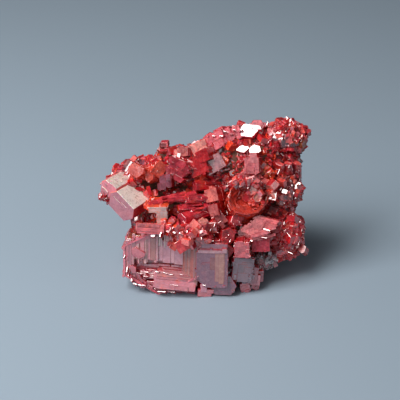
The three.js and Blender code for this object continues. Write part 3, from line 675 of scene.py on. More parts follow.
# The level terraces along the foot, then the stairs of six-sided steps down the left edge.
steps = 42
climb = hopper.rng.uniform(0, 1, steps)
middles = np.stack([hopper.rng.uniform(-3.6, 4.2, steps), -0.9 - 3.9 * climb,
                    -1.15 + 1.3 * climb + hopper.rng.uniform(-0.12, 0.12, steps)], -1)
half = hopper.rng.uniform(0.3, 1.9, steps)
above = hopper.rng.uniform(0.10, 0.2, steps)
below = hopper.rng.uniform(0.15, 0.45, steps)
reach = np.stack([half, above, half, below], -1)
tones = np.array(PINKS)[hopper.rng.integers(0, len(PINKS), steps)]
stack(hopper, HOPPER_AT, inward, middles, reach, CRIMSON, tones)
steps = 26
climb = np.linspace(0, 1, steps)
middles = np.stack([-6.3 + 4.4 * climb + hopper.rng.uniform(-0.3, 0.3, steps),
                    -1.6 - 3.9 * climb + hopper.rng.uniform(-0.3, 0.3, steps),
                    hopper.rng.uniform(-0.5, 0.12, steps)], -1)
reach = hopper.rng.uniform(0.15, 0.6, (steps, 6))
tones = np.array(PINKS)[hopper.rng.integers(0, len(PINKS), steps)]
stack(hopper, HOPPER_AT, inward, middles, reach, CRIMSON, tones)
HOPPER_GLINTS = ((-14.4, -9.3, 7.7, 0.1, 0.4), (-14.0, -9.6, 5.2, 0.12, 0.8),
                 (-13.7, -9.7, 4.1, 0.14, 0.7), (-13.2, -9.9, 2.9, 0.18, 0.5),
                 (-12.6, -10.1, 2.2, 0.5, 0.16), (-11.4, -10.3, 2.0, 0.9, 0.1),
                 (-11.8, -9.5, 4.1, 0.7, 0.08), (-10.7, -9.6, 3.5, 0.8, 0.08),
                 (-10.4, -9.5, 4.4, 0.5, 0.07), (-8.4, -9.7, 4.6, 0.5, 0.12),
                 (-7.0, -9.8, 4.4, 0.9, 0.07), (-5.8, -9.9, 4.1, 0.9, 0.06),
                 (-3.9, -10.0, 4.1, 0.5, 0.1), (-3.3, -10.0, 3.5, 0.45, 0.08))
skyward(hopper, HOPPER_GLINTS)
settle(hopper.mesh("hopper_crystal_body"), ["hopper_crystal"], dusky_crystal)

# ---------------------------------------------------------------------------------------------
# Foot bar and foot blocks: prisms that lie along the foot of the hopper crystal, side faces up, and
# small square ends that stand out at the foot of the tall tablet.
# ---------------------------------------------------------------------------------------------

ROSE = (0.60, 0.21, 0.24)

bar = Cluster(3)
BAR_WAY = (1, -0.1, -0.06)
BAR_SIDES = ((0.46, 0.30, 0.35), (0.48, 0.22, 0.26), ROSE, PINK)
grow(bar, (-1.3, -9.9, 1.4), BAR_WAY, (1.5, 1.5, 1.3, 1.5), 7.8, 45, side=BAR_SIDES, end=ROSE, clones=5,
     plates=2, ledges=1, clone_size=(0.25, 0.6), proud=0.1, fringe=4)
grow(bar, (-1.5, -9.4, 3.3), BAR_WAY, (1, 0.9, 0.9, 1, 0.9, 0.9), 7, 30, side=(0.42, 0.12, 0.13), end=BROWN,
     clones=9, plates=0, ledges=4, clone_size=(0.2, 0.5), proud=0.1)
skyward(bar, ((-5.4, -11.1, 2.6, 0.9, 0.06), (-8.8, -11.2, 2.0, 0.18, 0.35), (-7.6, -11.4, 1.3, 1.0, 0.1),
              (-5.6, -11.5, 1.3, 0.5, 0.06)))
settle(bar.mesh("foot_bar_prisms"), ["foot_bar"], dusky_crystal)

blocks = Cluster(4)
grow(blocks, (0.1, -11.3, 2.0), (0, -1, 0.1), (0.6, 0.9, 0.6, 0.9), 4, 4, end=(0.62, 0.34, 0.40), clones=0,
     plates=0, fringe=0)
grow(blocks, (0.3, -11.2, 0.85), (0.1, -1, 0.1), (1.3, 0.7, 1.3, 0.8), 4, -4, end=(0.72, 0.26, 0.28),
     clones=1, plates=1, fringe=2)
skyward(blocks, ((0.1, -11.4, 2.75, 0.5, 0.14),))
settle(blocks.mesh("foot_block_prisms"), ["foot_blocks"], dusky_crystal)

# ---------------------------------------------------------------------------------------------
# Grey crystal: its end was etched to a grey pitted skin and steps away in small square blocks at
# its lower edge. Small red blocks stand on the floor beneath it.
# ---------------------------------------------------------------------------------------------

SLATE = (0.19, 0.115, 0.15)
pitted_crystal = vanadinite("pitted_crystal", glow=0.12, mottle=0.3, streak=0.2, pits=1.4,
                            powder=(0.46, 0.42, 0.48), tint=(1.0, 1.0, 1.0))

grey = Cluster(5)
GREY_AT = (7.4, -10, 5)
GREY_WAY = (0.1, -1, 0.2)
grow(grey, GREY_AT, GREY_WAY, (1.9, 2.5, 2.1, 2), 7, -8, end=SLATE, end_gloss=0.25, end_dull=0.12,
     clones=0, plates=5, ledges=5)
grow(grey, (8.8, -9.3, 3.6), GREY_WAY, (1.4, 1.6, 1.4, 1.7), 6, -8, end=ROSE, clones=4, plates=2, ledges=4)
face = axes_of(GREY_WAY, -8)
middles = [(1.35, -2.0, 0.02), (0.5, -2.25, -0.1), (1.9, -1.2, -0.15), (1.0, -1.5, 0.08),
           (-1.4, -1.4, 0.06)]
reach = [(0.5, 0.45, 0.5, 0.45), (0.4, 0.3, 0.45, 0.4), (0.4, 0.5, 0.4, 0.45), (0.8, 0.5, 0.7, 0.6),
         (0.3, 0.6, 0.3, 0.5)]
tones = np.array([(0.27, 0.15, 0.18), (0.16, 0.09, 0.11), (0.34, 0.20, 0.24), (0.24, 0.16, 0.20),
                  (0.36, 0.28, 0.33)])
stack(grey, GREY_AT, face, middles, reach, CRIMSON, tones, end_gloss=0.2, end_dull=0.1)
settle(grey.mesh("grey_crystal_block"), ["grey_crystal"], pitted_crystal)

feet = Cluster(6)
grow(feet, (7.8, -9.6, 1), (0.1, -1, 0.15), (1, 0.9, 0.9, 1), 5, 10, end=ROSE, clones=3, plates=1)
grow(feet, (9.8, -9, 1.1), (0.2, -1, 0.1), (0.8, 0.7, 0.8, 0.9), 5, -15, end=ROSE, clones=3, plates=1)
grow(feet, (10.6, -8.4, 2.6), (0.4, -1, 0.1), (0.8, 1.2, 0.8, 1.2), 5, -5, end=PINK, clones=3, plates=1)
settle(feet.mesh("right_foot_prisms"), ["right_foot_blocks"], ruby_crystal)

# ---------------------------------------------------------------------------------------------
# Pink block, magenta block and slanted plate: stubby prisms above the grey crystal, and a broad
# leaning crystal that shows its smooth end.
# ---------------------------------------------------------------------------------------------

RED = (0.50, 0.014, 0.028)
WINE = (0.20, 0.008, 0.02)

pink = Cluster(7)
grow(pink, (7.1, -9.6, 9.2), (-0.1, -1, 0.2), (1.4, 1.5, 1.5, 1.5), 6, 5, end=(0.62, 0.16, 0.18), clones=6,
     plates=2, side=RED)
settle(pink.mesh("pink_block_prism"), ["pink_block"], ruby_crystal)

magenta = Cluster(8)
grow(magenta, (10.6, -8, 9.4), (0.05, -1, 0.35), (1.7, 1.3, 1.7, 1.4), 6, end=(0.52, 0.10, 0.15), clones=6,
     plates=2, side=RED)
skyward(magenta, ((10.9, -8.2, 11.0, 1.4, 0.14),))
settle(magenta.mesh("magenta_block_prism"), ["magenta_block"], ruby_crystal)

slant = Cluster(9)
SLANT_AT = (10.6, -7.2, 12.9)
SLANT_WAY = (-0.05, -0.93, 0.45)
grow(slant, SLANT_AT, SLANT_WAY, (3.4, 1.7, 1.9, 3.4, 1.7, 1.9), 4, 18, side=RED,
     end=(0.82, 0.30, 0.30), clones=6, plates=3, ledges=5)
grow(slant, (8.4, -6.4, 10.8), SLANT_WAY, (2, 1.6, 1.8, 2, 1.6, 1.6), 4, 18, side=RED,
     end=(0.72, 0.2, 0.22), clones=6, plates=3)
lean = axes_of(SLANT_WAY, 18)
middles = [(-0.6, -1.35, 0.25), (0.9, -1.0, 0.12), (-1.2, -1.9, -0.2), (0.4, -2.2, -0.5), (-2.2, -0.4, 0.1)]
reach = [(2.0, 0.3, 1.8, 0.35), (1.6, 0.25, 1.2, 0.3), (1.5, 0.3, 1.7, 0.3), (1.7, 0.25, 1.9, 0.35),
         (0.8, 0.6, 0.7, 0.5)]
stack(slant, SLANT_AT, lean, middles, reach, RED, (0.80, 0.30, 0.32))
skyward(slant, ((11.6, -8.0, 12.6, 0.85, 0.16), (7.4, -6.8, 12.0, 0.25, 0.18),
                (8.7, -8.6, 10.6, 0.4, 0.15)))
settle(slant.mesh("slanted_plate_prism"), ["slanted_plate"], ruby_crystal)

# ---------------------------------------------------------------------------------------------
# Shelf: the ledge of small orange and pink crystals over the hopper crystal, with a beam lying
# along it, a frosted upright tablet at its left end and a square prism standing at its right.
# ---------------------------------------------------------------------------------------------

ORANGE = (0.78, 0.11, 0.02)
CORAL = (0.78, 0.17, 0.12)
ROSY_RED = (0.60, 0.05, 0.085)
CREAM = (0.62, 0.42, 0.33)
STONE = (0.40, 0.33, 0.29)

beam = Cluster(10)
grow(beam, (-6.9, -9.2, 13.6), (1, -0.12, 0), (0.8, 0.8, 0.8, 0.8), 5.2, 64,
     side=(CORAL, ROSE, ORANGE, ROSE), end=ROSE, clones=4, plates=0, ledges=2, clone_size=(0.3, 0.6),
     proud=0.1)
settle(beam.mesh("shelf_beam_prism"), ["shelf_beam"], ruby_crystal)


HOLLOW = 0.2  # the share of small prisms that are six-sided with a hollow end
FULL = 0.35   # the share that are six-sided with a flat end; the others are four-sided


def crowd(cluster, spots, outward, size, sides, ends, bunch=6, lean=0.3, long=(1.6, 3.0), flat=0.45,
          **look):
    """Bunches of small prisms. A bunch shares one axis, its outward direction leaned at random, and its
    prisms stand side by side at different heights, `long` times as tall as they are wide."""
    rng = cluster.rng
    many = len(spots)
    total = many * bunch
    toward = outward + rng.normal(0, lean, (many, 3))
    axes = np.repeat(axes_of(toward, rng.uniform(0, 60, many)), bunch, 0)
    wide = np.repeat(rng.uniform(*size, many), bunch) * rng.uniform(0.45, 1.25, total)
    shift = rng.normal(0, 1.1, (total, 3)).clip(-1.5, 1.5) * wide[:, None]
    shift[:, 2] = rng.uniform(-0.8, 0.5, total) * wide
    at = np.repeat(spots, bunch, 0) + (shift[:, None] @ axes)[:, 0]
    reach = wide[:, None] * np.tile(rng.uniform(1 - flat, 1 + flat, (total, 3)), 2)
    tall = wide * rng.uniform(*long, total)
    bevel = wide * 0.07
    side = np.asarray(sides, float)[rng.integers(0, len(sides), total)][:, None]
    end = np.asarray(ends, float)[rng.integers(0, len(ends), total)]
    kind = rng.random(total)
    plain = np.stack([-tall, -bevel, 0 * bevel], -1)
    plain_in = np.stack([0 * bevel, 0 * bevel, bevel], -1)[..., None]
    cupped = np.stack([-tall, -bevel, 0 * bevel, 0 * bevel, -0.35 * wide], -1)
    cupped_in = np.stack([0 * bevel, 0 * bevel, bevel, 3.5 * bevel, 6 * bevel], -1)[..., None]
    square = reach[:, [0, 1, 0, 1]]
    hollow = kind < HOLLOW
    four_sided = kind >= HOLLOW + FULL
    for some, outline, heights, insets in ((hollow, reach, cupped, cupped_in),
                                           (~hollow & ~four_sided, reach, plain, plain_in),
                                           (four_sided, square, plain, plain_in)):
        cluster.prisms(at[some], axes[some], outline[some], heights[some], insets[some], 2, side[some],
                       end[some], chamfer=bevel[some], splits=0, wander=0.25, **look)


shelf = Cluster(11)
for place, toward, reach, long, turn in (
        ((-4.4, -9.3, 12.2), (-0.5, -0.8, 0.2), (1.1, 1, 1, 1.1, 1, 1), 5, 20),
        ((-2.4, -9.1, 12.4), (0.3, -0.9, 0.35), (1.2, 1, 1, 1.2, 1, 1), 5, 35),
        ((-5.6, -8.6, 11.6), (-0.7, -0.7, 0.1), (1, 0.9, 0.9, 1, 0.9, 0.9), 5, 10),
        ((-1, -9, 10.9), (0.1, -1, 0.2), (1, 1.1, 1, 1.1), 4, 45)):
    grow(shelf, place, toward, reach, long, turn, side=CORAL, end=(0.60, 0.12, 0.10), clones=9, plates=3,
         clone_size=(0.2, 0.55), proud=0.5)
spots = shelf.rng.uniform((-6.8, -9.9, 10.9), (0.8, -8.9, 14.0), (34, 3))
crowd(shelf, spots, np.array((-0.1, -0.95, 0.15)), (0.25, 0.7), (RED, CORAL, ORANGE, ROSY_RED),
      (CORAL, ROSE, (0.80, 0.26, 0.20), (0.80, 0.20, 0.22)), bunch=4, lean=0.4, flat=0.6)
skyward(shelf, ((-5.2, -10.2, 13.4, 0.3, 0.2), (-4.2, -10.3, 13.3, 0.25, 0.2),
                (-2.9, -10.2, 13.5, 0.2, 0.35), (-2.1, -10.5, 12.6, 0.6, 0.1),
                (-5.4, -10.0, 14.3, 0.15, 0.25), (-9.0, -10.4, 12.8, 0.5, 0.3),
                (-7.7, -10.6, 13.2, 0.15, 0.6)))
settle(shelf.mesh("shelf_crystal_bunch"), ["shelf_crystals"], ruby_crystal)

upright = Cluster(12)
grow(upright, (0, -8.4, 14.6), (0.05, -0.15, 1), (1, 0.9, 0.9, 1, 0.9, 0.9), 5, 20, side=ROSE, end=CREAM,
     clones=3, plates=2)
settle(upright.mesh("upright_prism_block"), ["upright_prism"], ruby_crystal)

standing = Cluster(13)
grow(standing, (-7.5, -7.6, 15.1), (0, -1, 0.15), (1, 1.8, 1, 1.6), 5, 2, side=CORAL, end=STONE, clones=2,
     plates=3, end_gloss=0.25, end_dull=0.35)
grow(standing, (-8.6, -7.4, 16.4), (0, -1, 0.15), (2, 0.6, 1.3, 0.6), 5, 2, side=ORANGE, end=CREAM,
     clones=2, plates=1, end_dull=0.2)
settle(standing.mesh("standing_tablet_block"), ["standing_tablet"], dusky_crystal)

# ---------------------------------------------------------------------------------------------
# Barite bits: a few crumbs of a grey-white mineral caught under the lobe, right of the grey
# crystal, which grew on the rock before the red crystals.
# ---------------------------------------------------------------------------------------------

BARITE = ((0.36, 0.34, 0.36), (0.52, 0.49, 0.50), (0.30, 0.22, 0.24), (0.42, 0.14, 0.16))
bits = Cluster(23)
spots = bits.rng.uniform((10.0, -7.2, 3.2), (13.4, -6.0, 6.2), (26, 3))
crowd(bits, spots, np.array((0.1, -0.9, 0.3)), (0.2, 0.5), BARITE, BARITE, bunch=4)
settle(bits.mesh("barite_bits"), [], pitted_crystal)

# ---------------------------------------------------------------------------------------------
# Long plates and lying prism: blades that point to the left below the pocket, red along their side
# faces where they are thin, with a small orange block at their tip.
# ---------------------------------------------------------------------------------------------

lying = Cluster(14)
grow(lying, (-3.9, -7.6, 14.6), (-0.75, -0.65, 0.05), (1.2, 1, 1, 1.2, 1, 1), 8, 12, side=ROSY_RED,
     end=(0.50, 0.08, 0.12), clones=6, plates=2, ledges=3, clone_size=(0.3, 0.7), proud=0.1)
settle(lying.mesh("lying_prism_block"), ["lying_prism"], ruby_crystal)

tip_block = Cluster(15)
grow(tip_block, (-10, -6, 16.4), (-0.5, -0.8, 0.3), (1, 0.8, 0.9, 1, 0.8, 0.9), 4, 20, side=ORANGE,
     end=ORANGE, clones=3, plates=1)
settle(tip_block.mesh("orange_block_prism"), ["orange_block"], ruby_crystal)

plates = Cluster(16)
for place, toward, reach, long, turn in (
        ((-10.0, -5.7, 16.5), (-0.97, -0.24, -0.1), (0.9, 0.7, 0.7, 1.1, 0.6, 0.7), 9, 25),
        ((-6.4, -5.4, 17.3), (-0.98, -0.18, 0.02), (0.9, 0.6, 0.5, 0.8, 0.4, 0.6), 8, 14),
        ((-4.6, -5.9, 16), (-0.97, -0.26, 0.05), (1.1, 0.6, 0.6, 1.2, 0.6, 0.8), 6, 10),
        ((-3.2, -5.2, 17.2), (-0.96, -0.28, 0.1), (0.9, 0.4, 0.5, 0.9, 0.5, 0.5), 5, -8)):
    grow(plates, place, toward, reach, long, turn, side=(0.50, 0.045, 0.075), end=ORANGE, clones=9,
         plates=0, ledges=6, clone_size=(0.25, 0.6), proud=0.05, fringe=6, belly=1.2)
settle(plates.mesh("long_plate_blades"), ["long_plates"], ruby_crystal)

# ---------------------------------------------------------------------------------------------
# Middle of the front: a square brownish block, small tablets that step down below it, and the red
# cluster in the centre.
# ---------------------------------------------------------------------------------------------

middle = Cluster(17)
grow(middle, (1.4, -4.8, 18), (-0.4, -0.8, 0.45), (1.3, 1.2, 1.2, 1.3), 5, 25, side=RED,
     end=(0.62, 0.25, 0.19), clones=3, plates=1)
settle(middle.mesh("middle_block_prism"), ["middle_block"], ruby_crystal)

tablets = Cluster(18)
for place, toward, reach, turn in (
        ((1.9, -6.6, 15.9), (-0.3, -0.9, 0.3), (0.9, 1.1, 0.9, 1.1), 20),
        ((3.2, -6.8, 14.2), (0.2, -0.9, 0.3), (0.9, 1.2, 0.9, 1.2), 30),
        ((1.7, -7.4, 12.6), (-0.2, -0.9, 0.2), (0.8, 1, 0.8, 1), 10)):
    grow(tablets, place, toward, reach, 5, turn, side=RED, end=(0.52, 0.22, 0.20), clones=4, plates=2)
settle(tablets.mesh("middle_tablet_steps"), ["middle_tablets"], ruby_crystal)

centre = Cluster(19)
for place, toward, reach, turn in (
        ((4.6, -8, 11.3), (0.3, -0.9, 0.35), (1.4, 1.3, 1.3, 1.4, 1.2, 1.3), 40),
        ((2.3, -9.3, 9.9), (-0.3, -0.9, 0.35), (1.5, 1.1, 1.4, 1.2), 15),
        ((6.2, -7, 14), (0.4, -0.8, 0.5), (1.2, 1, 1.1, 1.2, 1, 1), 30),
        ((4.3, -9.1, 8.6), (0.1, -0.9, 0.3), (1.2, 1.1, 1.2, 1.1), 50)):
    grow(centre, place, toward, reach, 6, turn, side=RED, end=(0.45, 0.10, 0.12), clones=8, plates=2)
sparkle(centre, (3.6, -7.6, 11.2), (3.6, 2.2, 3.4), 18)
settle(centre.mesh("centre_crystal_bunch"), ["centre_cluster"], ruby_crystal)

# ---------------------------------------------------------------------------------------------
# Left arm: a big block whose smooth mauve end faces out, with one frosted and scratched side, a
# cream block behind it, and a tip covered with tiny sparkling prisms.
# ---------------------------------------------------------------------------------------------

left = Cluster(20)
LEFT_WAY = (-0.475, -0.865, 0.125)
LEFT_SIDES = (CRIMSON, CREAM, ORANGE, CRIMSON, ROSE, CRIMSON)
grow(left, (-14.8, -5.9, 16.2), LEFT_WAY, (2.7, 1.7, 3, 2.75, 1.95, 2.7), 9, -5, side=LEFT_SIDES,
     end=(0.38, 0.165, 0.195), dull=(0, 1, 0.3, 0, 0, 0), clones=0, plates=2, ledges=1, end_gloss=0.10,
     fringe=0)
settle(left.mesh("left_block_crystal"), ["left_block"], dusky_crystal)

pale = Cluster(21)
PALE_SIDES = (ROSE, CREAM, CORAL, ROSE, ROSE, CORAL)
grow(pale, (-17.2, -3.6, 18.6), LEFT_WAY, (1.5, 1, 1.7, 1.7, 1.4, 1.5), 7, -5, side=PALE_SIDES, end=ROSE,
     dull=(0.1, 0.9, 0.2, 0, 0, 0), clones=4, plates=2, ledges=2, fringe=5, proud=0.5)
settle(pale.mesh("pale_block_crystal"), ["pale_block"], dusky_crystal)


def druse(cluster, at, size, count, grain, sides, ends, shaded_core=(0.16, 0.008, 0.014), lean=0.35, **look):
    """An egg-shaped lump grown over with bunches of prisms: spots spiral evenly over the egg and point
    along its outward direction, and a rough drum inside, painted dark as the shade between the prisms,
    closes the gaps."""
    turn = np.arange(count) * math.pi * (3 - math.sqrt(5))
    climb = np.linspace(-1, 1, count + 2)[1:-1]
    flat = np.sqrt(1 - climb**2)
    ball = np.stack([flat * np.cos(turn), flat * np.sin(turn), climb], -1)
    ball += cluster.rng.normal(0, 0.06, ball.shape)
    outward = ball / np.array(size)
    outward /= np.linalg.norm(outward, axis=1, keepdims=True)
    share = cluster.rng.uniform(0.86, 1.0, (count, 1))
    spots = np.array(at) + ball * (np.array(size) - 0.35 * grain) * share
    crowd(cluster, spots, outward, (grain * 0.6, grain * 1.2), sides, ends, lean=lean, **look)
    low = np.array(size) - 0.9 * grain
    climb = low[2] * np.array([[-0.95, -0.7, -0.3, 0.3, 0.7, 0.95]])
    girth = low[:1].mean() * np.array([0.3, 0.72, 0.95, 0.95, 0.72, 0.3])
    cluster.prisms(np.array(at), np.eye(3), [[1.0] * 12], climb, 1 - girth[None, :, None], 9,
                   shaded_core, shaded_core, ragged=0.12)


GLOWING = (RED, RED, CRIMSON, ROSY_RED, ORANGE, WINE)
ENDS = (PINK, ROSE, CORAL, RED, ROSY_RED)

tip = Cluster(22)
TIP_AT = (-17.2, -2.2, 17)
druse(tip, TIP_AT, (1.8, 1.6, 1.7), 34, 0.4, GLOWING, ENDS)
sparkle(tip, TIP_AT, (1.9, 1.7, 1.8), 14)
settle(tip.mesh("tip_druse"), ["tip_cluster"], ruby_crystal)

# ---------------------------------------------------------------------------------------------
# Rim: the chain of blocks along the upper edge from the left arm to the middle, some orange where
# light passes through them, a fluted barrel, a deep red cube and a stepped grey diamond.
# ---------------------------------------------------------------------------------------------

PEACH = (0.62, 0.28, 0.19)
EMBER = (0.64, 0.085, 0.03)
RUSSET = (0.52, 0.14, 0.085)
RIM = (
    ("rim_block_1", "red_crystal", EMBER, (0.52, 0.17, 0.13), 5, 2,
     ((-12.4, -0.8, 21), (-0.5, -0.65, 0.5), 20, (1.8, 1.1, 1.5, 1.7, 1.2, 1.5))),
    ("rim_block_2", "orange_crystal", EMBER, RUSSET, 5, 6,
     ((-8.2, -0.6, 21.2), (0.3, -0.75, 0.55), 40, (1.5, 0.9, 1.4, 1.3))),
    ("rim_prism", "orange_crystal", EMBER, RUSSET, 5, 4,
     ((-9.9, -1.8, 20.2), (-0.6, -0.7, 0.35), 20, (0.9, 0.8, 0.9, 0.9, 0.8, 0.9))),
    ("mauve_prism", "mauve_crystal", CRIMSON, MAUVE_SHEEN, 5, 3,
     ((-7, -2.2, 19.5), (-0.35, -0.85, 0.4), 15, (1.3, 1.0, 1.1, 1.2))),
    ("fluted_barrel", "red_crystal", CRIMSON, (0.34, 0.05, 0.08), 6, 8,
     ((-4.6, -1.4, 21.4), (-0.5, -0.75, 0.35), 20, (2.3, 1.5, 1.9, 2.4, 1.6, 1.8))),
    ("cream_block", "cream_crystal", ROSE, CREAM, 4, 3,
     ((-3.8, 1.6, 23.6), (-0.5, -0.75, 0.4), 20, (1.2, 0.8, 1.2, 0.9))),
    ("red_cube", "red_crystal", (0.44, 0.01, 0.014), (0.40, 0.02, 0.03), 6, 2,
     ((-1, -1.6, 22.4), (-0.5, -0.75, 0.4), 38, (1.9, 1.8, 1.9, 1.8))),
    ("peach_block", "cream_crystal", CORAL, PEACH, 4, 4,
     ((-0.7, 1.6, 24), (-0.1, -0.75, 0.6), 30, (1.5, 1.2, 1.4, 1.2))),
    ("stepped_diamond", "grey_crystal", WINE, (0.32, 0.17, 0.19), 6, 4,
     ((2.3, -1.5, 22.9), (-0.1, -0.85, 0.5), 35, (1.5, 1.5, 1.5, 1.5))))
RIM_SEED = 30
for number, (node, slot, tone, end_tone, long, clones, (place, toward, turn, reach)) in enumerate(RIM):
    block = Cluster(RIM_SEED + number)
    grow(block, place, toward, reach, long, turn, side=tone, end=end_tone, clones=clones, plates=3,
         clone_size=(0.25, 0.75), proud=0.4)
    settle(block.mesh(node + "_crystal"), [node], ruby_crystal)

# ---------------------------------------------------------------------------------------------
# Top edge: cream and mauve blocks that climb in steps, a bright six-sided plate and two tablets
# below it, whose ends all face the sky.
# ---------------------------------------------------------------------------------------------

stairs = Cluster(40)
STAIR_WAY = (-0.42, -0.8, 0.42)
for place, reach in (((1.9, 2, 25.5), (1.8, 1.5, 1.7, 1.6)), ((3.9, 2.2, 26.4), (1.6, 1.3, 1.5, 1.3)),
                     ((5.6, 2, 26.8), (1.3, 1.2, 1.2, 1.1))):
    grow(stairs, place, STAIR_WAY, reach, 6, 38, side=ROSY_RED, end=ROSE, clones=6, plates=4, proud=0.5,
         clone_size=(0.2, 0.6))
skyward(stairs, ((1.9, 1.9, 26.7, 0.6, 0.13), (3.9, 2.0, 27.6, 0.6, 0.13), (5.6, 1.8, 28.0, 0.45, 0.12),
                 (3.3, 1.6, 26.8, 0.35, 0.2), (5.2, 1.4, 27.2, 0.4, 0.18), (6.9, 1.8, 28.0, 0.3, 0.15)),
        lean=0.05)
settle(stairs.mesh("stepped_block_stairs"), ["stepped_blocks"], ruby_crystal)

PALE = (0.55, 0.46, 0.47)
top = Cluster(41)
TOP_WAY = (-0.24, -0.58, 0.78)
grow(top, (8.2, 2, 27.7), TOP_WAY, (2.1, 1.3, 1.6, 2, 1.3, 1.6), 5, 35, side=ROSY_RED, end=PALE, clones=1,
     plates=1, end_gloss=0.08, clone_size=(0.2, 0.5), fringe=2)
grow(top, (9.9, 2.6, 28.4), (-0.1, -0.75, 0.6), (1.2, 1.1, 1.2, 1.2, 1.1, 1.2), 5, 35, side=CRIMSON,
     end=ROSE, clones=4, plates=1, end_gloss=0.08)
settle(top.mesh("top_plate_crystal"), ["top_plate"], ruby_crystal)

ridge = Cluster(42)
RIDGE_WAY = (-0.22, -0.6, 0.77)
grow(ridge, (9.4, -0.4, 25), RIDGE_WAY, (1.1, 1, 1, 1.1, 1, 1), 5, 25, side=CRIMSON, end=PALE, clones=2,
     plates=0, end_gloss=0.07, clone_size=(0.2, 0.4), fringe=2)
grow(ridge, (7.2, 0, 25), RIDGE_WAY, (1.2, 0.7, 0.8, 1.2, 0.7, 0.8), 5, 25, side=CRIMSON, end=PALE,
     clones=2, plates=0, end_gloss=0.07, clone_size=(0.2, 0.5), fringe=2)
settle(ridge.mesh("ridge_tablet_pair"), ["ridge_tablets"], ruby_crystal)

# ---------------------------------------------------------------------------------------------
# Druses: lumps of the rock grown all over with tiny prisms, at the top right knob, down the right
# edge, and on the round lobe at the lower right.
# ---------------------------------------------------------------------------------------------

DUSK = (0.30, 0.03, 0.045)
BLOOD = (0.80, 0.03, 0.045)
OLIVE = (0.42, 0.24, 0.05)

knob = Cluster(54)
KNOB_AT = (15.2, 2.4, 26.6)
KNOB_SIZE = (4, 3.6, 2.8)
druse(knob, KNOB_AT, KNOB_SIZE, 190, 0.40, (RED, ORANGE, RED, ROSY_RED, CRIMSON),
      (RED, ROSY_RED, CORAL, ROSY_RED, ROSE), lean=0.5, end_gloss=0.3)
crowd(knob, np.array([(18.6, 0.8, 25.3), (18.4, 0.2, 26.0), (18.0, 0.4, 24.9)]), np.array((0.7, -0.7, 0.1)),
      (0.2, 0.4), (OLIVE, BEIGE), (OLIVE, BEIGE))
skyward(knob, ((15.6, 0.6, 29.5, 0.15, 0.2), (11.6, 1.6, 29.2, 0.12, 0.6)), lean=0.06)
sparkle(knob, KNOB_AT, KNOB_SIZE, 16)
settle(knob.mesh("knob_druse_prisms"), ["knob_druse"], ruby_crystal)

# The right edge's core is nearly black: painted shade deep between its prisms.
edge = Cluster(51)
druse(edge, (16.2, 2, 21.4), (2, 3, 3.4), 90, 0.45, (DUSK, WINE, RED, CRIMSON), (DUSK, RED, ROSE, WINE),
      shaded_core=(0.05, 0.015, 0.02))
settle(edge.mesh("right_edge_prisms"), ["right_edge_druse"], ruby_crystal)

flank = Cluster(52)
FLANK_AT = (15.6, -0.4, 17)
druse(flank, FLANK_AT, (3, 2.2, 3.6), 120, 0.42, (BLOOD, ROSY_RED, CORAL, PEACH, ORANGE),
      (BLOOD, ROSE, CREAM, PEACH, CORAL), lean=0.55)
skyward(flank, ((14.9, -3.6, 18.2, 0.55, 0.55), (13.6, -2.1, 18.5, 0.3, 0.35),
                (17.2, -2.5, 16.5, 0.14, 0.6), (14.9, -3.0, 15.3, 0.2, 0.2),
                (16.2, -2.6, 17.6, 0.12, 0.35), (13.0, -2.0, 19.0, 0.15, 0.12)))
sparkle(flank, FLANK_AT, (3.1, 2.5, 3.7), 44)
settle(flank.mesh("right_druse_prisms"), ["right_druse"], ruby_crystal)

lobe = Cluster(53)
LOBE_AT = (15.4, -1.6, 7.6)
druse(lobe, LOBE_AT, (3.8, 4, 5), 160, 0.6, (BLOOD, ROSY_RED, RED, BLOOD, CORAL),
      (CORAL, ROSE, (0.9, 0.25, 0.28), BLOOD), lean=0.45)
LOBE_BLADES = (((13.6, -4.6, 11.2), (0.2, -0.8, 0.55), (1.6, 0.9, 1.2, 1.7, 0.8, 1.1), 30),
               ((15.8, -5.0, 9.6), (0.35, -0.85, 0.35), (1.3, 0.9, 1.5, 1.2, 0.8, 1.4), 70),
               ((17.8, -3.6, 10.4), (0.7, -0.65, 0.4), (1.2, 0.8, 1.3, 1.1, 0.9, 1.2), 15),
               ((15.4, -5.3, 6.4), (0.1, -0.95, 0.1), (1.9, 0.7, 0.9, 1.9, 0.7, 0.8), 5),
               ((17.6, -4.2, 6.6), (0.6, -0.8, 0.0), (0.9, 1.2, 0.8, 1.0, 1.2, 0.8), -20),
               ((13.0, -5.0, 8.2), (-0.1, -0.95, 0.3), (1.0, 0.8, 1.0, 1.1, 0.7, 1.0), 40),
               ((14.2, -4.6, 4.2), (0.2, -0.9, -0.3), (1.4, 0.6, 0.9, 1.3, 0.6, 0.9), 8))
BLADE_TERRACES = ((0.15, 0.02), (0.2, -0.15), (0.35, -0.17), (0.4, -0.35), (0.6, -0.4))
for place, toward, reach, turn in LOBE_BLADES:
    grow(lobe, place, toward, reach, 3, turn, side=BLOOD, end=(0.80, 0.22, 0.25), clones=9, plates=0,
         proud=0.5, terraces=BLADE_TERRACES)
skyward(lobe, ((16.0, -5.9, 7.1, 0.8, 0.1), (16.4, -5.9, 6.2, 0.7, 0.12), (19.0, -1.9, 9.3, 0.15, 0.4),
               (18.4, -2.8, 10.2, 0.2, 0.3), (16.9, -2.6, 11.9, 0.2, 0.25), (17.8, -5.2, 7.9, 0.12, 0.6),
               (12.6, -5.2, 6.6, 0.2, 0.15)), lean=0.06)
sparkle(lobe, LOBE_AT, (3.9, 4.1, 5.0), 60)
settle(lobe.mesh("lobe_druse_prisms"), ["lobe_druse"], ruby_crystal)

# ---------------------------------------------------------------------------------------------
# Right of the middle: a mauve block, an amber one, three thin striated prisms, plates stacked like
# tiles and a cup-shaped barrel whose hollow end glows orange.
# ---------------------------------------------------------------------------------------------

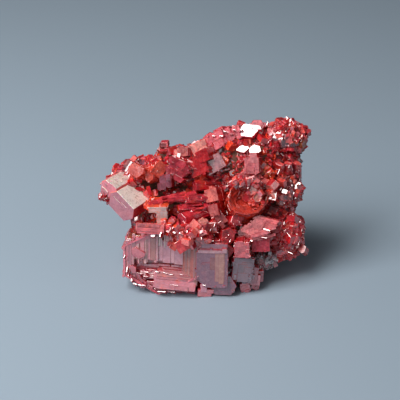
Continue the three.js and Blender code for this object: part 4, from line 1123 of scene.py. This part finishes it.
block = Cluster(60)
grow(block, (8.8, -2.6, 22.9), (-0.3, -0.85, 0.4), (1.4, 1.5, 1.4, 1.5), 6, 12, side=ROSY_RED,
     end=(0.58, 0.25, 0.26), clones=3, plates=1)
settle(block.mesh("mauve_block_prism"), ["mauve_block"], ruby_crystal)

AMBER = (0.80, 0.34, 0.05)
amber = Cluster(61)
grow(amber, (11.8, -1.4, 21.2), (0.2, -0.85, 0.4), (0.9, 0.7, 0.8, 0.9, 0.7, 0.8), 5, 30, side=AMBER,
     end=(0.85, 0.26, 0.06), clones=9, plates=3, proud=0.5, clone_size=(0.3, 0.7))
spots = amber.rng.uniform((10.8, -2.4, 19.4), (13.4, -1.2, 22.0), (12, 3))
crowd(amber, spots, np.array((0.1, -0.85, 0.4)), (0.25, 0.55), (AMBER, ORANGE, RED),
      (AMBER, ORANGE, CORAL, PEACH), bunch=3)
settle(amber.mesh("yellow_block_prism"), ["yellow_block"], ruby_crystal)

thin = Cluster(62)
THIN_SIDES = (CRIMSON, RED, CORAL, RED, CRIMSON, RED)
for place in ((14, -1.8, 22.8), (15.5, -1.6, 22.9), (17, -1.2, 22.8)):
    grow(thin, place, (-0.08, -0.35, 0.93), (0.7, 0.45, 0.6, 0.7, 0.45, 0.6), 6, 10, side=THIN_SIDES,
         end=(0.5, 0.1, 0.09), clones=5, plates=1, clone_size=(0.25, 0.6), ledges=6)
skyward(thin, ((13.7, -2.7, 21.7, 0.1, 0.8), (15.6, -2.5, 22.7, 0.1, 0.4)))
settle(thin.mesh("striated_prism_row"), ["striated_prisms"], ruby_crystal)

tiles = Cluster(63)
grow(tiles, (8, -3.2, 20.6), (0, -0.75, 0.65), (2.8, 1.5, 1.7, 2.8, 1.5, 1.7), 3, 12, side=RED,
     end=(0.62, 0.19, 0.18), clones=10, plates=5, ledges=3, proud=0.5)
grow(tiles, (9.2, -3.6, 19.8), (0.1, -0.75, 0.65), (2.4, 1.3, 1.4, 2.4, 1.3, 1.4), 3, 8, side=RED,
     end=(0.66, 0.24, 0.20), clones=8, plates=5, ledges=3, proud=0.5)
spots = tiles.rng.uniform((5.4, -5.4, 18.4), (10.6, -4.2, 21.2), (16, 3))
crowd(tiles, spots, np.array((-0.1, -0.9, 0.35)), (0.25, 0.6), (RED, ROSY_RED, CORAL),
      (CREAM, CORAL, ROSE, RED), bunch=3)
sparkle(tiles, (8.4, -3.6, 19.6), (2.8, 1.9, 2.2), 14)
settle(tiles.mesh("stacked_plate_tiles"), ["stacked_plates"], ruby_crystal)

cup = Cluster(64)
CUP_AT = (8.2, -4.8, 17.6)
CUP_WAY = (0.1, -0.6, 0.8)
CUP_TURN = 10
CUP_REACH = (4.2, 3.9, 3.5, 3.4, 3.5, 3.7, 4.0, 4.0, 3.6, 3.4, 3.4, 3.8)
CUP_TERRACES = ((0.35, 0.03), (0.4, -0.25), (0.8, -0.3), (0.85, -0.7), (1.2, -0.75), (1.25, -1.2),
                (1.7, -1.25), (1.75, -1.6), (2.2, -1.65), (2.25, -2.0), (2.9, -2.0))
grow(cup, CUP_AT, CUP_WAY, CUP_REACH, 5, CUP_TURN, side=(0.62, 0.045, 0.012), end=(0.50, 0.06, 0.024),
     clones=8, plates=0, ledges=8, end_gloss=0.2, belly=0.4, clone_size=(0.08, 0.16), fringe=4, proud=0.1,
     terraces=CUP_TERRACES)
cup_axes = axes_of(CUP_WAY, CUP_TURN)
middles = cup.rng.uniform((-2.0, -1.6, -1.9), (1.6, 1.8, -0.9), (9, 3))
reach = cup.rng.uniform(0.2, 0.7, (9, 6))
stack(cup, CUP_AT, cup_axes, middles, reach, ORANGE, (0.60, 0.16, 0.10), length=1.2)
spots = CUP_AT + cup.rng.uniform((0.2, -1.4, -0.9), (3.6, 2.4, 0.9), (24, 3)) @ cup_axes
crowd(cup, spots, np.array((0.1, -0.9, 0.3)), (0.3, 0.7), (RED, CORAL, ORANGE, WINE),
      (PINK, CORAL, ROSE, CREAM, RED), bunch=3, lean=0.35)
skyward(cup, ((6.4, -6.6, 15.9, 0.4, 0.1), (8.0, -7.4, 15.6, 0.5, 0.1), (9.4, -6.6, 16.3, 0.3, 0.15)),
        tone=(0.6, 0.3, 0.2), lean=0.12)
settle(cup.mesh("cup_barrel_crystal"), ["cup_barrel"], ruby_crystal)

# ---------------------------------------------------------------------------------------------
# Pocket: the dark hollow under the rim, where an orange crystal and a red one that grew out of its
# back wall catch the light.
# ---------------------------------------------------------------------------------------------

pocket = Cluster(70)
grow(pocket, (-1.2, -1.2, 20), (-0.7, -0.6, 0.3), (1.1, 0.9, 0.9, 1.1, 0.9, 0.9), 5, 15, side=ORANGE,
     end=(0.55, 0.06, 0.03), clones=5, plates=1)
settle(pocket.mesh("pocket_orange_crystal"), ["pocket_crystal"], ruby_crystal)

inner = Cluster(71)
grow(inner, (-1.6, -2.6, 18.7), (-0.9, -0.35, 0.15), (0.9, 0.9, 0.9, 0.9, 0.9, 0.9), 5, 15, side=RED,
     end=CRIMSON, clones=5, plates=1)
settle(inner.mesh("pocket_red_prism"), ["pocket_prism"], ruby_crystal)

# ---------------------------------------------------------------------------------------------
# Back and left flank: scattered single crystals and small groups on the barer rock, which grew where
# the vein was open behind the specimen.
# ---------------------------------------------------------------------------------------------

BACK = (
    ("back_tablets", "red_crystal", RED, PINK, (
        ((-4, 9.4, 19), (-0.2, 0.9, 0.3), 10, (2, 1.7, 1.8, 2, 1.7, 1.8)),
        ((-1.4, 9.8, 17.6), (0.1, 1, 0.2), 35, (1.4, 1.2, 1.3, 1.4, 1.2, 1.3)),
        ((-5.6, 8.6, 16.8), (-0.5, 0.9, -0.1), 20, (1.2, 1, 1, 1.2, 1, 1)))),
    ("back_barrel", "mauve_crystal", CRIMSON, MAUVE_SHEEN, (
        ((7.6, 10.4, 19.4), (0.15, 1, 0.1), 15, (2.6, 2.2, 2.4, 2.6, 2.2, 2.4)),
        ((10.8, 9.4, 17.6), (0.4, 1, -0.1), 25, (1.6, 1.3, 1.4, 1.6, 1.3, 1.4)))),
    ("back_blocks", "red_crystal", RED, ROSE, (
        ((3.2, 9.6, 21.4), (0.1, 0.9, 0.4), 30, (1.4, 1.3, 1.4, 1.3)),
        ((5, 9.4, 22.6), (0.1, 0.8, 0.5), 45, (1.1, 1.1, 1, 1.1)),
        ((1.6, 9.4, 19.8), (-0.2, 0.9, 0.3), 20, (1.2, 1, 1.2, 1)))),
    ("back_foot_crystal", "mauve_crystal", CRIMSON, MAUVE_SHEEN, (
        ((3.8, 9.6, 7), (0.2, 1, 0.15), 5, (2.8, 2.3, 2.5, 2.8, 2.3, 2.5)),
        ((0.4, 9.6, 5), (-0.1, 1, 0.1), 30, (1.7, 1.4, 1.5, 1.7, 1.4, 1.5)))),
    ("back_left_prism", "red_crystal", RED, PINK, (
        ((-9.8, 8, 9.4), (-0.7, 0.7, 0.2), 20, (1.8, 1.5, 1.6, 1.8, 1.5, 1.6)),
        ((-7.6, 9, 7.4), (-0.5, 0.9, 0), 40, (1.2, 1, 1, 1.2, 1, 1)))),
    ("left_flank_blocks", "red_crystal", RED, ROSE, (
        ((-12.8, 2, 8.6), (-0.9, 0.1, 0.3), 15, (1.8, 1.4, 1.6, 1.8, 1.4, 1.6)),
        ((-12.4, 4.6, 6.2), (-0.9, 0.4, 0.1), 35, (1.3, 1.1, 1.2, 1.3, 1.1, 1.2)))))
BACK_SEED = 80
for number, (node, slot, tone, end_tone, members) in enumerate(BACK):
    group = Cluster(BACK_SEED + number)
    for place, toward, turn, reach in members:
        grow(group, place, toward, reach, 5, turn, side=tone, end=end_tone, clones=8, plates=4, ledges=6)
    settle(group.mesh(node + "_crystals"), [node], ruby_crystal)

# ---------------------------------------------------------------------------------------------
# Crust: thousands of small prisms that cover the rock between the big crystals, thick over the
# front and top and in the pocket, and scattered over the back.
# ---------------------------------------------------------------------------------------------

rock = rock_points - SET_OVER
upward = np.gradient(rock, axis=0)
agirth = np.gradient(rock, axis=1)
rock_out = np.cross(agirth, upward)
rock_out /= np.linalg.norm(rock_out, axis=-1, keepdims=True) + 1e-9
rock_area = np.linalg.norm(np.cross(agirth, upward), axis=-1).ravel()
rock_spots, rock_out = rock.reshape(-1, 3), rock_out.reshape(-1, 3)
rock_out *= np.sign((rock_out * rock_ways.reshape(-1, 3)).sum(1, keepdims=True))


def pick(rng, wanted, chance):
    """Spots on the rock, taken by area and by a chance for each spot."""
    weight = rock_area * chance
    return rng.choice(len(rock_spots), wanted, replace=False, p=weight / weight.sum())


WAIST = 15.5  # the height where the upper crust meets the lower one
height = rock_spots[:, 2]
open_air = (height > 0.8) & (height < 29)
showing = open_air & ((rock_out[:, 1] < 0.25) | (rock_out[:, 2] > 0.55))
for seed, name, part in ((92, "upper_crust_prisms", height > WAIST),
                         (93, "lower_crust_prisms", height <= WAIST)):
    crust = Cluster(seed)
    picked = pick(crust.rng, 800, showing & part)
    crowd(crust, rock_spots[picked], rock_out[picked], (0.22, 0.58),
          (RED, CRIMSON, ROSY_RED, ORANGE, WINE, RED), (PINK, ROSE, CORAL, ROSY_RED, MAUVE_SHEEN, RED, CRIMSON),
          bunch=5, lean=0.45, long=(1.8, 3.2))
    settle(crust.mesh(name), [], ruby_crystal)

sparse = Cluster(91)
behind = open_air & (rock_out[:, 1] > 0.1)
patchy = np.clip(waves(rock_spots, 7.0, 9) + 0.2, 0.02, 1) ** 2
picked = pick(sparse.rng, 300, behind * patchy)
crowd(sparse, rock_spots[picked], rock_out[picked], (0.22, 0.65), (RED, CRIMSON, ROSY_RED, ORANGE, WINE),
      (PINK, ROSE, CORAL, ROSY_RED, MAUVE_SHEEN), bunch=5, lean=0.35, long=(1.5, 2.6))
settle(sparse.mesh("back_crust_prisms"), [], ruby_crystal)

# ---------------------------------------------------------------------------------------------
# Studio: a pale grey-blue paper sweep, soft lights above and at the left, and weak panels in front and
# at the right. Each light is a rectangle that faces the specimen.
# ---------------------------------------------------------------------------------------------

PAPER = (0.285, 0.36, 0.43)
SKY = (0.62, 0.68, 0.74)
SKY_STRENGTH = 0.09

floor_mesh = bpy.data.meshes.new("floor")
floor_mesh.from_pydata([(-3, -3, 0), (3, -3, 0), (3, 3, 0), (-3, 3, 0)], [], [(0, 1, 2, 3)])
floor = bpy.data.objects.new("floor", floor_mesh)
bpy.context.scene.collection.objects.link(floor)
paper = bpy.data.materials.new("paper_sweep")
paper.use_nodes = True
paper_skin = paper.node_tree.nodes["Principled BSDF"]
paper_skin.inputs["Base Color"].default_value = (*PAPER, 1)
paper_skin.inputs["Roughness"].default_value = 0.75
floor_mesh.materials.append(paper)


def soft_light(name, place, size, power, colour):
    """A rectangular light that faces the specimen."""
    lamp = bpy.data.lights.new(name, "AREA")
    lamp.shape = "RECTANGLE"
    lamp.size, lamp.size_y = size
    lamp.energy = power
    lamp.color = colour
    holder = bpy.data.objects.new(name, lamp)
    holder.location = place
    holder.rotation_mode = "QUATERNION"
    holder.rotation_quaternion = (Vector(place) - aim).to_track_quat("Z", "Y")
    bpy.context.scene.collection.objects.link(holder)


soft_light("top_softbox", (-0.13, -0.06, 0.29), (0.15, 0.15), 0.78, (1.0, 0.98, 0.96))
soft_light("left_softbox", (-0.25, -0.14, 0.25), (0.20, 0.20), 0.76, (1.0, 0.98, 0.98))
soft_light("front_panel", (-0.16, -0.34, 0.30), (0.40, 0.30), 0.28, (1.0, 0.97, 0.98))
soft_light("right_panel", (0.28, -0.10, 0.16), (0.12, 0.12), 0.07, (1.0, 0.98, 0.96))

world = bpy.data.worlds.new("studio")
world.use_nodes = True
world.node_tree.nodes["Background"].inputs["Color"].default_value = (*SKY, 1)
world.node_tree.nodes["Background"].inputs["Strength"].default_value = SKY_STRENGTH
bpy.context.scene.world = world
bpy.context.scene.view_settings.view_transform = "Standard"
